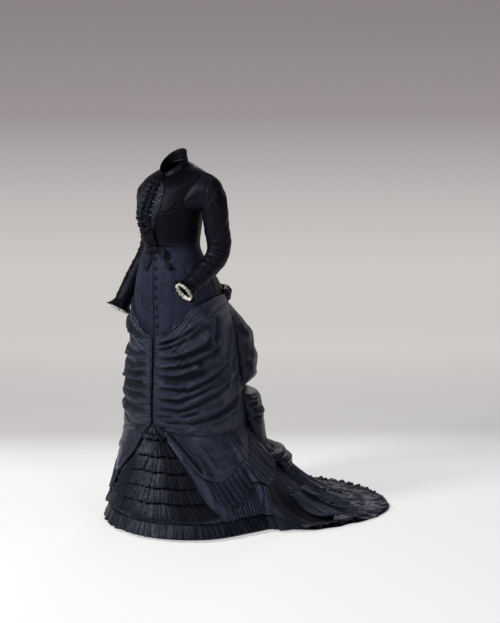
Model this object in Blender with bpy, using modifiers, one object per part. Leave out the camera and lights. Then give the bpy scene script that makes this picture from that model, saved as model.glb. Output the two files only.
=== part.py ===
"""Bustle dress of dark blue silk, worn shape with no wearer: long bodice, draped apron and swept train.

Metres, +Z up. The dress faces -Y and the wearer's left is +X. Heights in the tables are above the
floor. The origin is the middle of the shoulder line, SHOULDER_HEIGHT above the floor.
An angle goes round the figure in degrees: 0 is the centre front, 90 the wearer's left side and
180 the centre back. A station goes down it: 0 is the waist, CALF the calf ring and HEM the hem.
"""
import bpy
import bmesh
from math import cos, degrees, pi, radians, sin, sqrt
from mathutils import Vector

SHOULDER_HEIGHT = 1.36
WALL = 0.0015
GAP = 0.0005
# How far a piece lies from the cloth it is sewn to, along its sewn edge.
SEWN = 0.0004
SEWN_ON_SKIRT = 0.0009
SEAM_ANGLE = 0.30
SEAM_GAP = 0.0007
CALF = 6
HEM = 7
LEFT, RIGHT = 1, -1
SIDES = {"left": LEFT, "right": RIGHT}
COLLECTION = "bustle_dress"

RING_COLUMNS = ("front_z", "back_z", "half_width", "front", "back", "x", "y", "turn")
# Each row: height at the front and back, half width, depths from the ring's middle, the middle, the turn.
TORSO = {
    "neck": (1.374, 1.436, 0.060, 0.058, 0.056, -0.002, -0.022, -12),
    "yoke": (1.358, 1.424, 0.096, 0.080, 0.078, -0.002, -0.024, -12),
    "shoulder": (1.332, 1.404, 0.139, 0.104, 0.098, -0.002, -0.024, -12),
    "chest": (1.278, 1.330, 0.146, 0.132, 0.108, -0.003, -0.026, -12),
    "bust": (1.225, 1.250, 0.138, 0.148, 0.108, -0.004, -0.029, -11),
    "rib": (1.170, 1.180, 0.126, 0.129, 0.100, -0.002, -0.032, -10),
    "waist": (1.108, 1.112, 0.1145, 0.1045, 0.0965, 0.0, -0.034, -8),
}
SKIRT = {
    "waist": (1.095, 1.095, 0.109, 0.099, 0.091, 0.0, -0.034, -8),
    "high_hip": (1.030, 1.030, 0.137, 0.117, 0.128, 0.0, -0.030, -5),
    "hip": (0.940, 0.940, 0.162, 0.137, 0.205, 0.0, -0.020, -2),
    "low_hip": (0.830, 0.830, 0.178, 0.152, 0.270, 0.0, -0.008, 0),
    "thigh": (0.690, 0.690, 0.190, 0.164, 0.325, 0.0, 0.0, 0),
    "knee": (0.540, 0.540, 0.202, 0.172, 0.352, 0.0, 0.0, 0),
    "calf": (0.380, 0.380, 0.226, 0.192, 0.372, 0.004, 0.006, 1),
}
TRAIN_STARTS = 0.40
TRAIN_FULL = 0.25
TRAIN_HOLLOW = 1.4
HEM_MIDDLE = (0.04, 0.10)
HEM_TURN = 6
HEM_HEIGHT = 0.003
# The hem's distance from its middle, by angle: the train is swept towards the wearer's left.
HEM_REACH = {
    0: 0.392, 30: 0.380, 60: 0.352, 74: 0.362, 82: 0.436, 88: 0.516, 95: 0.576, 101: 0.622, 106: 0.674,
    112: 0.724, 118: 0.764, 124: 0.784, 131: 0.787, 140: 0.778, 149: 0.756, 158: 0.722, 168: 0.676,
    179: 0.620, 194: 0.540, 214: 0.455, 243: 0.395, 270: 0.370, 300: 0.374, 330: 0.388, 360: 0.392,
}

FRONT_ANGLES = (1, 8, 16, 26, 38, 50, 62, 74, 86, 97)
BACK_ANGLES = (97, 108, 119, 131, 144, 157, 169, 179.6)
SKIRT_FRONT_ANGLES = FRONT_ANGLES[:-1] + (91.5, 97, 110)
# A deep fold where the train leaves the skirt on the left.
HOLLOW_ANGLE, HOLLOW_HALF, HOLLOW_DEPTH = 97, 9.0, 0.045
HOLLOW_STATIONS = (6.33, 6.98)


def monotone(keys, values, x):
    """A smooth curve through the values, with no overshoot between them."""
    slopes = [(b - a) / (q - p) for a, b, p, q in zip(values, values[1:], keys, keys[1:])]
    ends = [slopes[0]] + [
        2 * a * b / (a + b) if a * b > 0 else 0.0 for a, b in zip(slopes, slopes[1:])
    ] + [slopes[-1]]
    i = 0
    while i < len(keys) - 2 and x > keys[i + 1]:
        i += 1
    span = keys[i + 1] - keys[i]
    t = min(max((x - keys[i]) / span, 0.0), 1.0)
    start = (2 * t**3 - 3 * t**2 + 1) * values[i] + (t**3 - 2 * t**2 + t) * span * ends[i]
    return start + (3 * t**2 - 2 * t**3) * values[i + 1] + (t**3 - t**2) * span * ends[i + 1]


def along(table, x):
    return monotone(list(table.keys()), list(table.values()), x)


def straight(table, x):
    """Straight lines through a table's values."""
    keys = list(table.keys())
    x = min(max(x, keys[0]), keys[-1])
    i = 0
    while i < len(keys) - 2 and x > keys[i + 1]:
        i += 1
    t = (x - keys[i]) / (keys[i + 1] - keys[i])
    return table[keys[i]] * (1 - t) + table[keys[i + 1]] * t


def smooth(t):
    t = min(max(t, 0.0), 1.0)
    return t * t * (3 - 2 * t)


def turned(x, y, degrees):
    a = radians(degrees)
    return x * cos(a) - y * sin(a), x * sin(a) + y * cos(a)


def ring_point(rings, station, angle):
    """A point of the ring at a station, read between the rows of its table."""
    rows = list(rings.values())
    size = {
        name: monotone(list(range(len(rows))), [row[k] for row in rows], station)
        for k, name in enumerate(RING_COLUMNS)
    }
    a = radians(angle)
    depth = size["front"] if cos(a) > 0 else size["back"]
    x, y = turned(size["half_width"] * sin(a), -depth * cos(a), size["turn"])
    z = size["front_z"] + (size["back_z"] - size["front_z"]) * (1 - cos(a)) / 2
    return Vector((size["x"] + x, size["y"] + y, z))


def hem_point(angle):
    reach = along(HEM_REACH, angle % 360)
    x, y = turned(sin(radians(angle)), -cos(radians(angle)), HEM_TURN)
    return Vector((HEM_MIDDLE[0] + reach * x, HEM_MIDDLE[1] + reach * y, HEM_HEIGHT))


def skirt_point(angle, station):
    """The skirt: rings down to the calf, then out to the hem, low over the floor at the train."""
    if station <= CALF:
        return ring_point(SKIRT, station, angle)
    down = (station - CALF) / (HEM - CALF)
    calf, hem = ring_point(SKIRT, CALF, angle), hem_point(angle)
    train = min(max((along(HEM_REACH, angle % 360) - TRAIN_STARTS) / TRAIN_FULL, 0), 1)
    out = down ** (0.78 + 0.22 * train)
    point = calf.lerp(hem, out)
    point.z = hem.z + (calf.z - hem.z) * (1 - down) ** (1 + TRAIN_HOLLOW * train)
    top, end = HOLLOW_STATIONS
    if abs(angle - HOLLOW_ANGLE) < HOLLOW_HALF and top < station < end:
        near = 1 - abs(angle - HOLLOW_ANGLE) / HOLLOW_HALF
        depth = HOLLOW_DEPTH * near * sin(pi * (station - top) / (end - top))
        point -= depth * Vector((point.x, point.y, 0)).normalized()
    return point


class Cloth:
    """A grid of points with the angle, or another measure, of each column and row."""

    def __init__(self, columns, rows, place):
        self.columns, self.rows = list(columns), list(rows)
        self.points = [[place(c, r) for c in self.columns] for r in self.rows]
        last_c, last_r = len(self.columns) - 1, len(self.rows) - 1
        self.normals = []
        for r in range(last_r + 1):
            line = []
            for c in range(last_c + 1):
                across = self.points[r][min(c + 1, last_c)] - self.points[r][max(c - 1, 0)]
                down = self.points[min(r + 1, last_r)][c] - self.points[max(r - 1, 0)][c]
                line.append(down.cross(across).normalized())
            self.normals.append(line)

    @staticmethod
    def cell(keys, x):
        sign = 1 if keys[-1] > keys[0] else -1
        i = 0
        while i < len(keys) - 2 and sign * x > sign * keys[i + 1]:
            i += 1
        return i, (x - keys[i]) / (keys[i + 1] - keys[i])

    def read(self, grid, column, row):
        c, u = self.cell(self.columns, column)
        r, v = self.cell(self.rows, row)
        top = grid[r][c].lerp(grid[r][c + 1], u)
        return top.lerp(grid[r + 1][c].lerp(grid[r + 1][c + 1], u), v)

    def lift(self, column, row, height):
        """The point over the cloth at that height, on its own flat faces."""
        normal = self.read(self.normals, column, row).normalized()
        return self.read(self.points, column, row) + height * normal


def silk(name, colour, roughness):
    material = bpy.data.materials.new(name)
    material.use_nodes = True
    shader = material.node_tree.nodes["Principled BSDF"]
    shader.inputs["Base Color"].default_value = (*colour, 1)
    shader.inputs["Roughness"].default_value = roughness
    material.diffuse_color = (*colour, 1)
    return material


def keep(name, mesh, material):
    """Puts a finished mesh into the dress, with the origin at the shoulder line."""
    for vertex in mesh.vertices:
        vertex.co.z -= SHOULDER_HEIGHT
    mesh.materials.append(material)
    mesh.shade_smooth()
    piece = bpy.data.objects.new(name, mesh)
    bpy.data.collections[COLLECTION].objects.link(piece)
    return piece


def shell(name, points, material, wall=WALL, tube=False):
    """One piece of cloth: a grid bent to its points, with its thickness on the inner side."""
    down, across = len(points) - 1, len(points[0]) - 1
    bm = bmesh.new()
    bmesh.ops.create_grid(bm, x_segments=across, y_segments=down, size=0.5)
    for vertex in bm.verts:
        column = round((vertex.co.x + 0.5) * across)
        row = round((0.5 - vertex.co.y) * down)
        vertex.co = points[row][column]
    if tube:
        bmesh.ops.remove_doubles(bm, verts=bm.verts, dist=0.00001)
    mesh = bpy.data.meshes.new(name)
    bm.to_mesh(mesh)
    bm.free()
    piece = keep(name, mesh, material)
    solid = piece.modifiers.new("wall", "SOLIDIFY")
    solid.thickness = wall
    solid.offset = -1
    return piece


def side_shell(name, side, points, material, wall=WALL):
    """A piece of one side: its columns run from the middle outwards, so the right one is turned over."""
    rows = points if side == LEFT else [row[::-1] for row in points]
    return shell(name, rows, material, wall)


def facing(side, columns):
    """Columns in the order that turns a cloth's normals outwards on either side."""
    return [side * c for c in columns] if side == LEFT else [side * c for c in columns][::-1]


# Foundation skirt and train.
SKIRT_STATIONS = (0, 1, 2, 3, 4, 5, 6, 6.33, 6.66, 7)
TRAIN_STATIONS = (0, 1, 2, 3, 4, 5, 5.6, 6, 6.12, 6.26, 6.42, 6.6, 6.8, 7)
TRAIN_ANGLES = (110, 118, 126, 134, 142, 150, 159, 168, 178, 190, 204, 220, 235, 250)


def beside_seam(angle, station, away):
    """A point of the skirt, moved round it from a seam by half the seam's gap."""
    point = skirt_point(angle, station)
    reach = Vector((point.x, point.y)).length
    return skirt_point(angle + away * degrees(SEAM_GAP / reach), station)


def build_skirt(silk_blue):
    angles = [-a for a in reversed(SKIRT_FRONT_ANGLES)] + list(SKIRT_FRONT_ANGLES)

    def place_front(angle, station):
        return beside_seam(angle, station, {angles[0]: 1, angles[-1]: -1}.get(angle, 0))

    def place_train(angle, station):
        return beside_seam(angle, station, {TRAIN_ANGLES[0]: 1, TRAIN_ANGLES[-1]: -1}.get(angle, 0))

    front = Cloth(angles, SKIRT_STATIONS, place_front)
    shell("skirt_front", front.points, silk_blue)
    back = Cloth(TRAIN_ANGLES, TRAIN_STATIONS, place_train)
    shell("skirt_train", back.points, silk_blue)
    return front, back


# Bodice: it reaches over the skirt, with an edge that falls to a point at the centre front.
BODICE_OVER_SKIRT = 0.0045
BODICE_EDGE = {0: 3.66, 16: 3.48, 26: 3.28, 38: 3.04, 50: 2.80, 62: 2.62, 86: 2.46, 119: 2.42, 180: 2.50}
TORSO_ROWS = (0, 1, 2, 2.5, 3.05, 3.6, 4.1, 5, 6)
SHOULDER_ROW, ARMPIT_ROW = 2, 6
# The armhole's edges, by row of the bodice: the front's and the back's.
ARMHOLE_FRONT = {3: 67, 4: 61, 5: 67}
ARMHOLE_BACK = {3: 113, 4: 118, 5: 112}
LOWER_ROWS = 6
WAIST_ROW = len(TORSO_ROWS) - 1


def bodice_side(row, back):
    """The angle of the side seam, the armhole's edge or the shoulder seam at a row."""
    if row <= SHOULDER_ROW:
        return 90 + (SEAM_ANGLE if back else -SEAM_ANGLE) * 2
    opening = (ARMHOLE_BACK if back else ARMHOLE_FRONT).get(row)
    if opening:
        return opening
    return 97 + (SEAM_ANGLE if back else -SEAM_ANGLE)


def bodice_point(side, angle, row, skirt):
    if row <= WAIST_ROW:
        return ring_point(TORSO, TORSO_ROWS[row], side * angle)
    station = along(BODICE_EDGE, angle) * ((row - WAIST_ROW) / LOWER_ROWS)
    return skirt(side * angle, station, BODICE_OVER_SKIRT)


def build_bodice(silk_blue, over_skirt):
    rows = range(WAIST_ROW + LOWER_ROWS + 1)
    pieces = {}
    for label, side in SIDES.items():
        for part, angles in (("front", FRONT_ANGLES), ("back", BACK_ANGLES)):
            back = part == "back"
            inner, outer = (angles[-1], angles[0]) if back else (angles[0], angles[-1])

            def place(column, row):
                seam = bodice_side(row, back)
                angle = inner + (seam - inner) * (column - inner) / (outer - inner)
                return bodice_point(side, angle, row, over_skirt)

            columns = list(angles) if side == LEFT else list(angles)[::-1]
            cloth = Cloth(columns, rows, place)
            shell(f"bodice_{part}_{label}", cloth.points, silk_blue)
            pieces[part, label] = cloth
    return pieces


COLLAR_ANGLES = (9, 24, 42, 62, 84, 108, 132, 156)
COLLAR_FRONT_HEIGHT, COLLAR_BACK_HEIGHT = 0.010, 0.044
COLLAR_LEAN = 0.12


def build_collar(silk_blue):
    """A standing collar: its top edge falls from the back to an open notch at the throat."""
    angles = COLLAR_ANGLES + (180,) + tuple(360 - a for a in reversed(COLLAR_ANGLES))
    middle = ring_point(TORSO, 0, 180).lerp(ring_point(TORSO, 0, 0), 0.5)
    rows = []
    for up in (1.0, 0.5, 0.0):
        line = []
        for angle in angles:
            point = ring_point(TORSO, 0, angle)
            backness = (1 - cos(radians(angle))) / 2
            height = COLLAR_FRONT_HEIGHT + (COLLAR_BACK_HEIGHT - COLLAR_FRONT_HEIGHT) * backness ** 0.6
            inwards = Vector((middle.x - point.x, middle.y - point.y, 0)) * (COLLAR_LEAN * up)
            line.append(point + inwards + Vector((0, 0, SEWN + up * height)))
        rows.append(line)
    shell("collar", rows, silk_blue)


# The top rings of a sleeve: the inner side's x and z, the middle's y, how far the arm has turned down,
# and the radii across and along the figure. The rings below: the middle, and the same radii.
SLEEVE_CAPS = {
    "left": ((0.147, 1.236, -0.030, 24, 0.065, 0.056), (0.148, 1.208, -0.026, 54, 0.055, 0.053),
             (0.148, 1.168, -0.018, 80, 0.048, 0.050)),
    "right": ((-0.142, 1.230, 0.016, 24, 0.054, 0.050), (-0.141, 1.208, 0.042, 54, 0.046, 0.048),
              (-0.140, 1.168, 0.062, 80, 0.043, 0.045)),
}
SLEEVE_RINGS = {
    "left": ((0.200, -0.010, 1.118, 0.047, 0.048), (0.199, -0.030, 1.066, 0.043, 0.044),
             (0.183, -0.092, 1.012, 0.038, 0.039), (0.160, -0.150, 0.966, 0.034, 0.035)),
    "right": ((-0.177, 0.068, 1.112, 0.042, 0.043), (-0.186, 0.048, 1.050, 0.040, 0.041),
              (-0.212, 0.004, 0.966, 0.038, 0.039), (-0.241, -0.044, 0.868, 0.034, 0.035)),
}
SLEEVE_SIDES = 16


def arm_frame(side, along_arm):
    """The directions outwards, forwards and along the arm at one ring."""
    forwards = Vector((0, -1, 0))
    forwards = (forwards - forwards.dot(along_arm) * along_arm).normalized()
    outwards = forwards.cross(along_arm).normalized()
    if outwards.x * side < 0:
        outwards = -outwards
    return outwards, forwards, along_arm


def arm_ring(side, centre, frame, across, fore, count, ripple=None):
    """A ring round the arm from its outer side, in the order that faces it outwards."""
    outwards, forwards, _ = frame
    ring = []
    for k in range(count + 1):
        a = 2 * pi * (k % count) / count
        grow = ripple(k % count) if ripple else 0.0
        turn = -side * sin(a)
        ring.append(centre + (across + grow) * cos(a) * outwards + (fore + grow) * turn * forwards)
    return ring


def armhole_ring(side, front, back):
    """The armhole's loop, from the shoulder point, on the bodice's own edges."""
    front_edge = -1 if side == LEFT else 0
    back_edge = 0 if side == LEFT else -1
    inner = list(range(SHOULDER_ROW + 1, ARMPIT_ROW))
    shoulder = front.points[SHOULDER_ROW][front_edge].lerp(back.points[SHOULDER_ROW][back_edge], 0.5)
    armpit = front.points[ARMPIT_ROW][front_edge].lerp(back.points[ARMPIT_ROW][back_edge], 0.5)
    down_back = [back.points[r][back_edge] for r in inner]
    up_front = [front.points[r][front_edge] for r in reversed(inner)]
    loop = [shoulder] + down_back + [armpit] + up_front
    if side == RIGHT:
        loop = [shoulder] + up_front[::-1] + [armpit] + down_back[::-1]
    away = Vector((side, 0, 0)) * (2 * SEWN)
    ring = []
    for a, b in zip(loop, loop[1:] + loop[:1]):
        ring += [a + away, a.lerp(b, 0.5) + away]
    return ring + [ring[0]]


def build_sleeves(silk_dark, bodice):
    wrists = {}
    for label, side in SIDES.items():
        rings = [armhole_ring(side, bodice["front", label], bodice["back", label])]
        for inner_x, inner_z, y, drop, across, fore in SLEEVE_CAPS[label]:
            a = radians(drop)
            frame = arm_frame(side, Vector((side * cos(a), 0, -sin(a))))
            centre = Vector((inner_x, y, inner_z)) + across * frame[0]
            rings.append(arm_ring(side, centre, frame, across, fore, SLEEVE_SIDES))
        centres = [centre] + [Vector(row[:3]) for row in SLEEVE_RINGS[label]]
        for k, row in enumerate(SLEEVE_RINGS[label]):
            ahead = centres[min(k + 2, len(centres) - 1)]
            frame = arm_frame(side, (ahead - centres[k]).normalized())
            rings.append(arm_ring(side, centres[k + 1], frame, row[3], row[4], SLEEVE_SIDES))
        shell(f"sleeve_{label}", rings, silk_dark, tube=True)
        wrists[label] = centres[-1], frame, SLEEVE_RINGS[label][-1][3:]
    return wrists


CUFF_WAVES = 9
CUFF_LENGTH, LACE_LENGTH = 0.034, 0.046
CUFF_FLARE, LACE_FLARE = 0.013, 0.004
CUFF_RIPPLE, LACE_RIPPLE = 0.004, 0.002
FRILL_WALL = 0.001


def build_cuffs(silk_dark, lace, wrists):
    """A dark frill at each wrist, with a light lace frill inside it that shows below."""
    layers = (
        ("cuff_frill", silk_dark, 0.0, CUFF_LENGTH, CUFF_FLARE, CUFF_RIPPLE),
        ("cuff_lace", lace, -FRILL_WALL - GAP, LACE_LENGTH, LACE_FLARE, LACE_RIPPLE),
    )
    for label, side in SIDES.items():
        centre, frame, (across, fore) = wrists[label]
        for name, material, inset, length, flare, ripple in layers:
            rings = []
            for down in (0.0, 1.0):
                middle = centre + frame[2] * (GAP + down * length)
                grow = inset + flare * down
                rings.append(arm_ring(
                    side, middle, frame, across + grow, fore + grow, 2 * CUFF_WAVES,
                    lambda k: ripple * down * (1 if k % 2 else -1)))
            shell(f"{name}_{label}", rings, material, FRILL_WALL, tube=True)


# Trimmings of the bodice's front, by row of the bodice.
PLASTRON_EDGE = {0.6: 9, 1: 14, 2: 23, 3: 26, 5: 31, 6: 32, 6.9: 27}
PLASTRON_TOP, PLASTRON_END, PLASTRON_INNER = 0.6, 6.9, 6
PLASTRON_PUCKERS, PUCKER_DEPTH = 8, 0.0022
PLASTRON_COLUMNS, PLASTRON_OVER = 4, 0.0036
FRILL_TOP, FRILL_END = 0.15, 7.9
FRILL_WAVES = 11
FRILL_REACH = (2.0, 5.0, 11.5)
FRILL_LIFT = (0.0007, 0.0084, 0.0106)
SASH_TOP, SASH_END, SASH_FOLDS, SASH_OVER = 7.08, 7.92, 3, 0.0024
SASH_ANGLES = (16, 26, 38, 50, 62, 74, 86, 96)


def build_front_trimmings(silk_blue, silk_dark, bodice):
    for label, side in SIDES.items():
        front = bodice["front", label]
        rows = 2 * PLASTRON_PUCKERS
        points = []
        for j in range(rows + 1):
            row = PLASTRON_TOP + (PLASTRON_END - PLASTRON_TOP) * j / rows
            edge = straight(PLASTRON_EDGE, row)
            line = []
            for i in range(PLASTRON_COLUMNS + 1):
                pucker = PUCKER_DEPTH * (j % 2) * (1 if i < PLASTRON_COLUMNS else 0.3)
                column = PLASTRON_INNER + (edge - PLASTRON_INNER) * i / PLASTRON_COLUMNS
                over = PLASTRON_OVER if 0 < j < rows else WALL + SEWN
                line.append(front.lift(column, row, over + pucker))
            points.append(line)
        side_shell(f"plastron_{label}", side, points, silk_blue)
        points = []
        for j in range(2 * FRILL_WAVES + 1):
            row = FRILL_TOP + (FRILL_END - FRILL_TOP) * j / (2 * FRILL_WAVES)
            line = []
            for i, (reach, lift) in enumerate(zip(FRILL_REACH, FRILL_LIFT)):
                wave = (j % 2 - 0.5) * 0.5 * i
                height = FRILL_WALL + GAP + lift + 0.004 * wave * (i > 1)
                line.append(front.lift(reach + 1.6 * wave, row, height))
            points.append(line)
        side_shell(f"front_frill_{label}", side, points, silk_dark, FRILL_WALL)
        points = []
        for j in range(2 * SASH_FOLDS + 1):
            row = SASH_TOP + (SASH_END - SASH_TOP) * j / (2 * SASH_FOLDS)
            points.append([front.lift(a, row, SASH_OVER + 0.003 * (j % 2)) for a in SASH_ANGLES])
        side_shell(f"waist_sash_{label}", side, points, silk_blue)


BUTTON_COUNT, BUTTON_RADIUS, BUTTON_THICK = 8, 0.0068, 0.004
BUTTON_TOP, BUTTON_SPACING = 1.061, 0.0368
BUTTON_ANGLE = 4.2


def front_row_at(front, angle, height):
    """The bodice row at a height above the floor."""
    low, high = WAIST_ROW - 1.0, float(WAIST_ROW + LOWER_ROWS)
    for _ in range(40):
        row = (low + high) / 2
        if front.read(front.points, angle, row).z > height:
            low = row
        else:
            high = row
    return (low + high) / 2


def build_buttons(button, bodice):
    front = bodice["front", "left"]
    for k in range(BUTTON_COUNT):
        row = front_row_at(front, BUTTON_ANGLE, BUTTON_TOP - k * BUTTON_SPACING)
        normal = front.read(front.normals, BUTTON_ANGLE, row).normalized()
        centre = front.lift(BUTTON_ANGLE, row, SEWN + BUTTON_THICK / 2)
        bm = bmesh.new()
        bmesh.ops.create_cone(
            bm, cap_ends=True, segments=10, radius1=BUTTON_RADIUS, radius2=0.75 * BUTTON_RADIUS,
            depth=BUTTON_THICK)
        spin = Vector((0, 0, 1)).rotation_difference(normal).to_matrix()
        bmesh.ops.rotate(bm, cent=(0, 0, 0), matrix=spin, verts=bm.verts)
        bmesh.ops.translate(bm, vec=centre, verts=bm.verts)
        mesh = bpy.data.meshes.new(f"button_{k + 1}")
        bm.to_mesh(mesh)
        bm.free()
        keep(f"button_{k + 1}", mesh, button)


BOW_ANGLE, BOW_HEIGHT = 5, 1.098
KNOT_RADII = (0.010, 0.007, 0.013)
BOW_LIFT = 0.0080
LOOP_LENGTH, LOOP_SIDES = 0.046, 10
# Each tail's reach to the side, its fall and its half width.
TAILS = {"left": (0.040, 0.052, 0.015), "right": (0.036, 0.062, 0.011)}
TAIL_ROWS, TAIL_NOTCH, TAIL_OVER, TAIL_RADIUS = 4, 0.014, 0.0080, 0.115


def build_bow(silk_blue, bodice):
    """The waist bow: a knot, two flattened loops and two notched tails."""
    front = bodice["front", "left"]
    row = front_row_at(front, BOW_ANGLE, BOW_HEIGHT)
    normal = front.read(front.normals, BOW_ANGLE, row).normalized()
    centre = front.lift(BOW_ANGLE, row, BOW_LIFT)
    across = Vector((0, 0, 1)).cross(normal).normalized() * -1
    if across.x < 0:
        across = -across
    up = normal.cross(across).normalized()
    if up.z < 0:
        up = -up
    bm = bmesh.new()
    bmesh.ops.create_uvsphere(bm, u_segments=8, v_segments=6, radius=1)
    for vertex in bm.verts:
        x, y, z = (c * r for c, r in zip(vertex.co, KNOT_RADII))
        vertex.co = centre + x * across - y * normal + z * up
    bmesh.ops.recalc_face_normals(bm, faces=bm.faces)
    mesh = bpy.data.meshes.new("bow_knot")
    bm.to_mesh(mesh)
    bm.free()
    keep("bow_knot", mesh, silk_blue)
    for label, side in SIDES.items():
        root = centre + side * (KNOT_RADII[0] + 2 * GAP) * across
        rings = []
        for rise in (1, 0, -1):
            ring = []
            for k in range(LOOP_SIDES + 1):
                a = 2 * pi * (k % LOOP_SIDES) / LOOP_SIDES
                out = (1 - cos(a)) / 2
                thick = 0.0035 + 0.0065 * out
                half = 0.008 + 0.008 * out
                bend = -0.006 * out * out
                ring.append(root + side * LOOP_LENGTH * out * across
                            + (thick * sin(a) * side + bend) * normal * -1
                            + (rise * half - 0.006 * out) * up)
            rings.append(ring)
        shell(f"bow_loop_{label}", rings, silk_blue, FRILL_WALL, tube=True)
        reach, drop, half = TAILS[label]
        points = []
        for j in range(TAIL_ROWS + 1):
            t = j / TAIL_ROWS
            line = []
            for i in (-1, 0, 1):
                notch = TAIL_NOTCH * (j == TAIL_ROWS) * abs(i)
                x = side * (KNOT_RADII[0] + reach * t) + i * half * (0.45 + 0.55 * t)
                spot_angle = BOW_ANGLE + degrees(x / TAIL_RADIUS)
                height = BOW_HEIGHT - 0.016 - (drop + notch) * t
                spot_row = front_row_at(front, max(spot_angle, FRONT_ANGLES[0]), height)
                cloth = front if spot_angle > 0 else bodice["front", "right"]
                over = FRILL_WALL + SEWN + TAIL_OVER * t
                line.append(cloth.lift(spot_angle, spot_row, over + 0.004 * t * (1 - abs(i))))
            points.append(line)
        shell(f"bow_tail_{label}", points, silk_blue, FRILL_WALL)


# Apron: each half is gathered into the centre seam and sweeps up to the hip.
APRON_ANGLES = (1, 8, 16, 26, 38, 50, 62, 74, 86, 91.5, 97, 110, 114)
APRON_FOLDS, FOLD_ROWS = 8, 3
APRON_CENTRE = (3.36, 5.70)
APRON_SIDE = (2.34, 5.86)
APRON_SAG = 0.22
APRON_OVER, APRON_TOP_OVER = 0.0100, BODICE_OVER_SKIRT + WALL + SEWN
FOLD_SHAPE = (0.0, 1.0, 0.5)
FOLD_DEPTH = {0: 0.007, 16: 0.011, 38: 0.013, 62: 0.011, 86: 0.007, 97: 0.004, 114: 0.001}


def apron_station(angle, t):
    w = smooth(angle / 100)
    centre = APRON_CENTRE[0] + (APRON_CENTRE[1] - APRON_CENTRE[0]) * t
    side = APRON_SIDE[0] + (APRON_SIDE[1] - APRON_SIDE[0]) * t ** 1.7
    top = along(BODICE_EDGE, angle) - 0.12
    bottom = centre * (1 - w) + side * w + APRON_SAG * sin(pi * min(angle / 100, 1)) * t
    return top * (1 - t) ** 3 + bottom * (1 - (1 - t) ** 3)


def build_apron(silk_blue, over_skirt):
    rows = APRON_FOLDS * FOLD_ROWS
    cloths = {}
    for label, side in SIDES.items():
        def place(angle, row):
            depth = along(FOLD_DEPTH, abs(angle)) * (0.6 + 0.4 * sin(2.1 * (row // FOLD_ROWS) + 0.03 * angle))
            over = APRON_OVER if row else APRON_TOP_OVER
            height = over + depth * FOLD_SHAPE[row % FOLD_ROWS] * (row < rows)
            return over_skirt(angle, apron_station(abs(angle), row / rows), height)

        columns = facing(side, APRON_ANGLES)
        cloth = Cloth(columns, range(rows + 1), place)
        shell(f"apron_{label}", cloth.points, silk_blue)
        cloths[label] = cloth
    return cloths


# Lower panels of the overskirt, with their bands and flounces. Each table is by angle: the left side's
# front edge, and the right side's, run slanting down from the centre as the first rows of PANEL_BOTTOM.
PANEL_ANGLES = (1, 8, 16, 26, 38, 44, 50, 62, 74, 83.5, 91.5, 99.5, 110, 114)
PANEL_TOP = 5.60
PANEL_BOTTOM = {
    "left": {
        1: 5.68, 8: 5.82, 16: 6.02, 26: 6.18, 38: 6.42, 44: 6.46, 50: 6.46, 62: 6.40, 78: 6.28,
        97: 6.10, 114: 6.00,
    },
    "right": {
        1: 5.68, 8: 5.95, 16: 6.14, 26: 6.28, 38: 6.42, 44: 6.46, 50: 6.46, 62: 6.40, 78: 6.28,
        97: 6.10, 114: 6.00,
    },
}
BAND_END = {
    "left": {38: 6.46, 44: 6.66, 50: 6.70, 56: 6.69, 68: 6.60, 80: 6.48, 97: 6.31, 114: 6.20},
    "right": {38: 6.50, 44: 6.62, 50: 6.69, 56: 6.69, 68: 6.60, 80: 6.48, 97: 6.31, 114: 6.20},
}
PANEL_OVER, PANEL_FOLD = 0.0060, 0.004
PANEL_ROWS = 6
BAND_PLEATS, BAND_SLANT, BAND_DEPTH = 12, 3.0, 0.005
UPRIGHT_FRONT, UPRIGHT_BACK_TOP, UPRIGHT_BACK_END = 53, 86, 78
UPRIGHT_END, UPRIGHT_PLEATS, UPRIGHT_DEPTH = 6.83, 9, 0.006
PLEAT_SHAPE = (0.0, 1.0, 0.75)


def build_lower_panels(silk_blue, over_skirt):
    first, last = PANEL_ANGLES[4], PANEL_ANGLES[-1]
    for label, side in SIDES.items():
        points = []
        for j in range(PANEL_ROWS + 1):
            line = []
            for i, angle in enumerate(PANEL_ANGLES):
                station = PANEL_TOP + (along(PANEL_BOTTOM[label], angle) - PANEL_TOP) * j / PANEL_ROWS
                fold = PANEL_FOLD * (i % 3 == 2) * smooth((station - 5.95) / 0.2)
                over = PANEL_OVER + fold if j else WALL + 1.5 * SEWN_ON_SKIRT
                line.append(over_skirt(side * angle, station, over))
            points.append(line)
        side_shell(f"lower_panel_{label}", side, points, silk_blue)
        top, bottom = [], []
        count = 3 * BAND_PLEATS
        for i in range(count + 1):
            angle = first + (last - first) * i / count
            raised = BAND_DEPTH * PLEAT_SHAPE[i % 3]
            slant = min(angle + BAND_SLANT, last)
            station = along(PANEL_BOTTOM[label], angle) + 0.012
            top.append(over_skirt(side * angle, station, WALL + 2 * SEWN_ON_SKIRT + raised))
            low = along(BAND_END[label], slant)
            bottom.append(over_skirt(side * slant, low, PANEL_OVER + 0.003 + raised))
        side_shell(f"slant_pleats_{label}", side, [top, bottom], silk_blue)
        top, bottom = [], []
        count = 3 * UPRIGHT_PLEATS
        for i in range(count + 1):
            high = UPRIGHT_FRONT + (UPRIGHT_BACK_TOP - UPRIGHT_FRONT) * i / count
            low = UPRIGHT_FRONT + (UPRIGHT_BACK_END - UPRIGHT_FRONT) * i / count
            raised = UPRIGHT_DEPTH * PLEAT_SHAPE[i % 3]
            start = along(BAND_END[label], high) + 0.02
            top.append(over_skirt(side * high, start, WALL + 0.9 * SEWN_ON_SKIRT + 0.5 * raised))
            bottom.append(over_skirt(side * low, UPRIGHT_END, PANEL_OVER + 0.010 + raised))
        side_shell(f"upright_pleats_{label}", side, [top, bottom], silk_blue)


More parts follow.
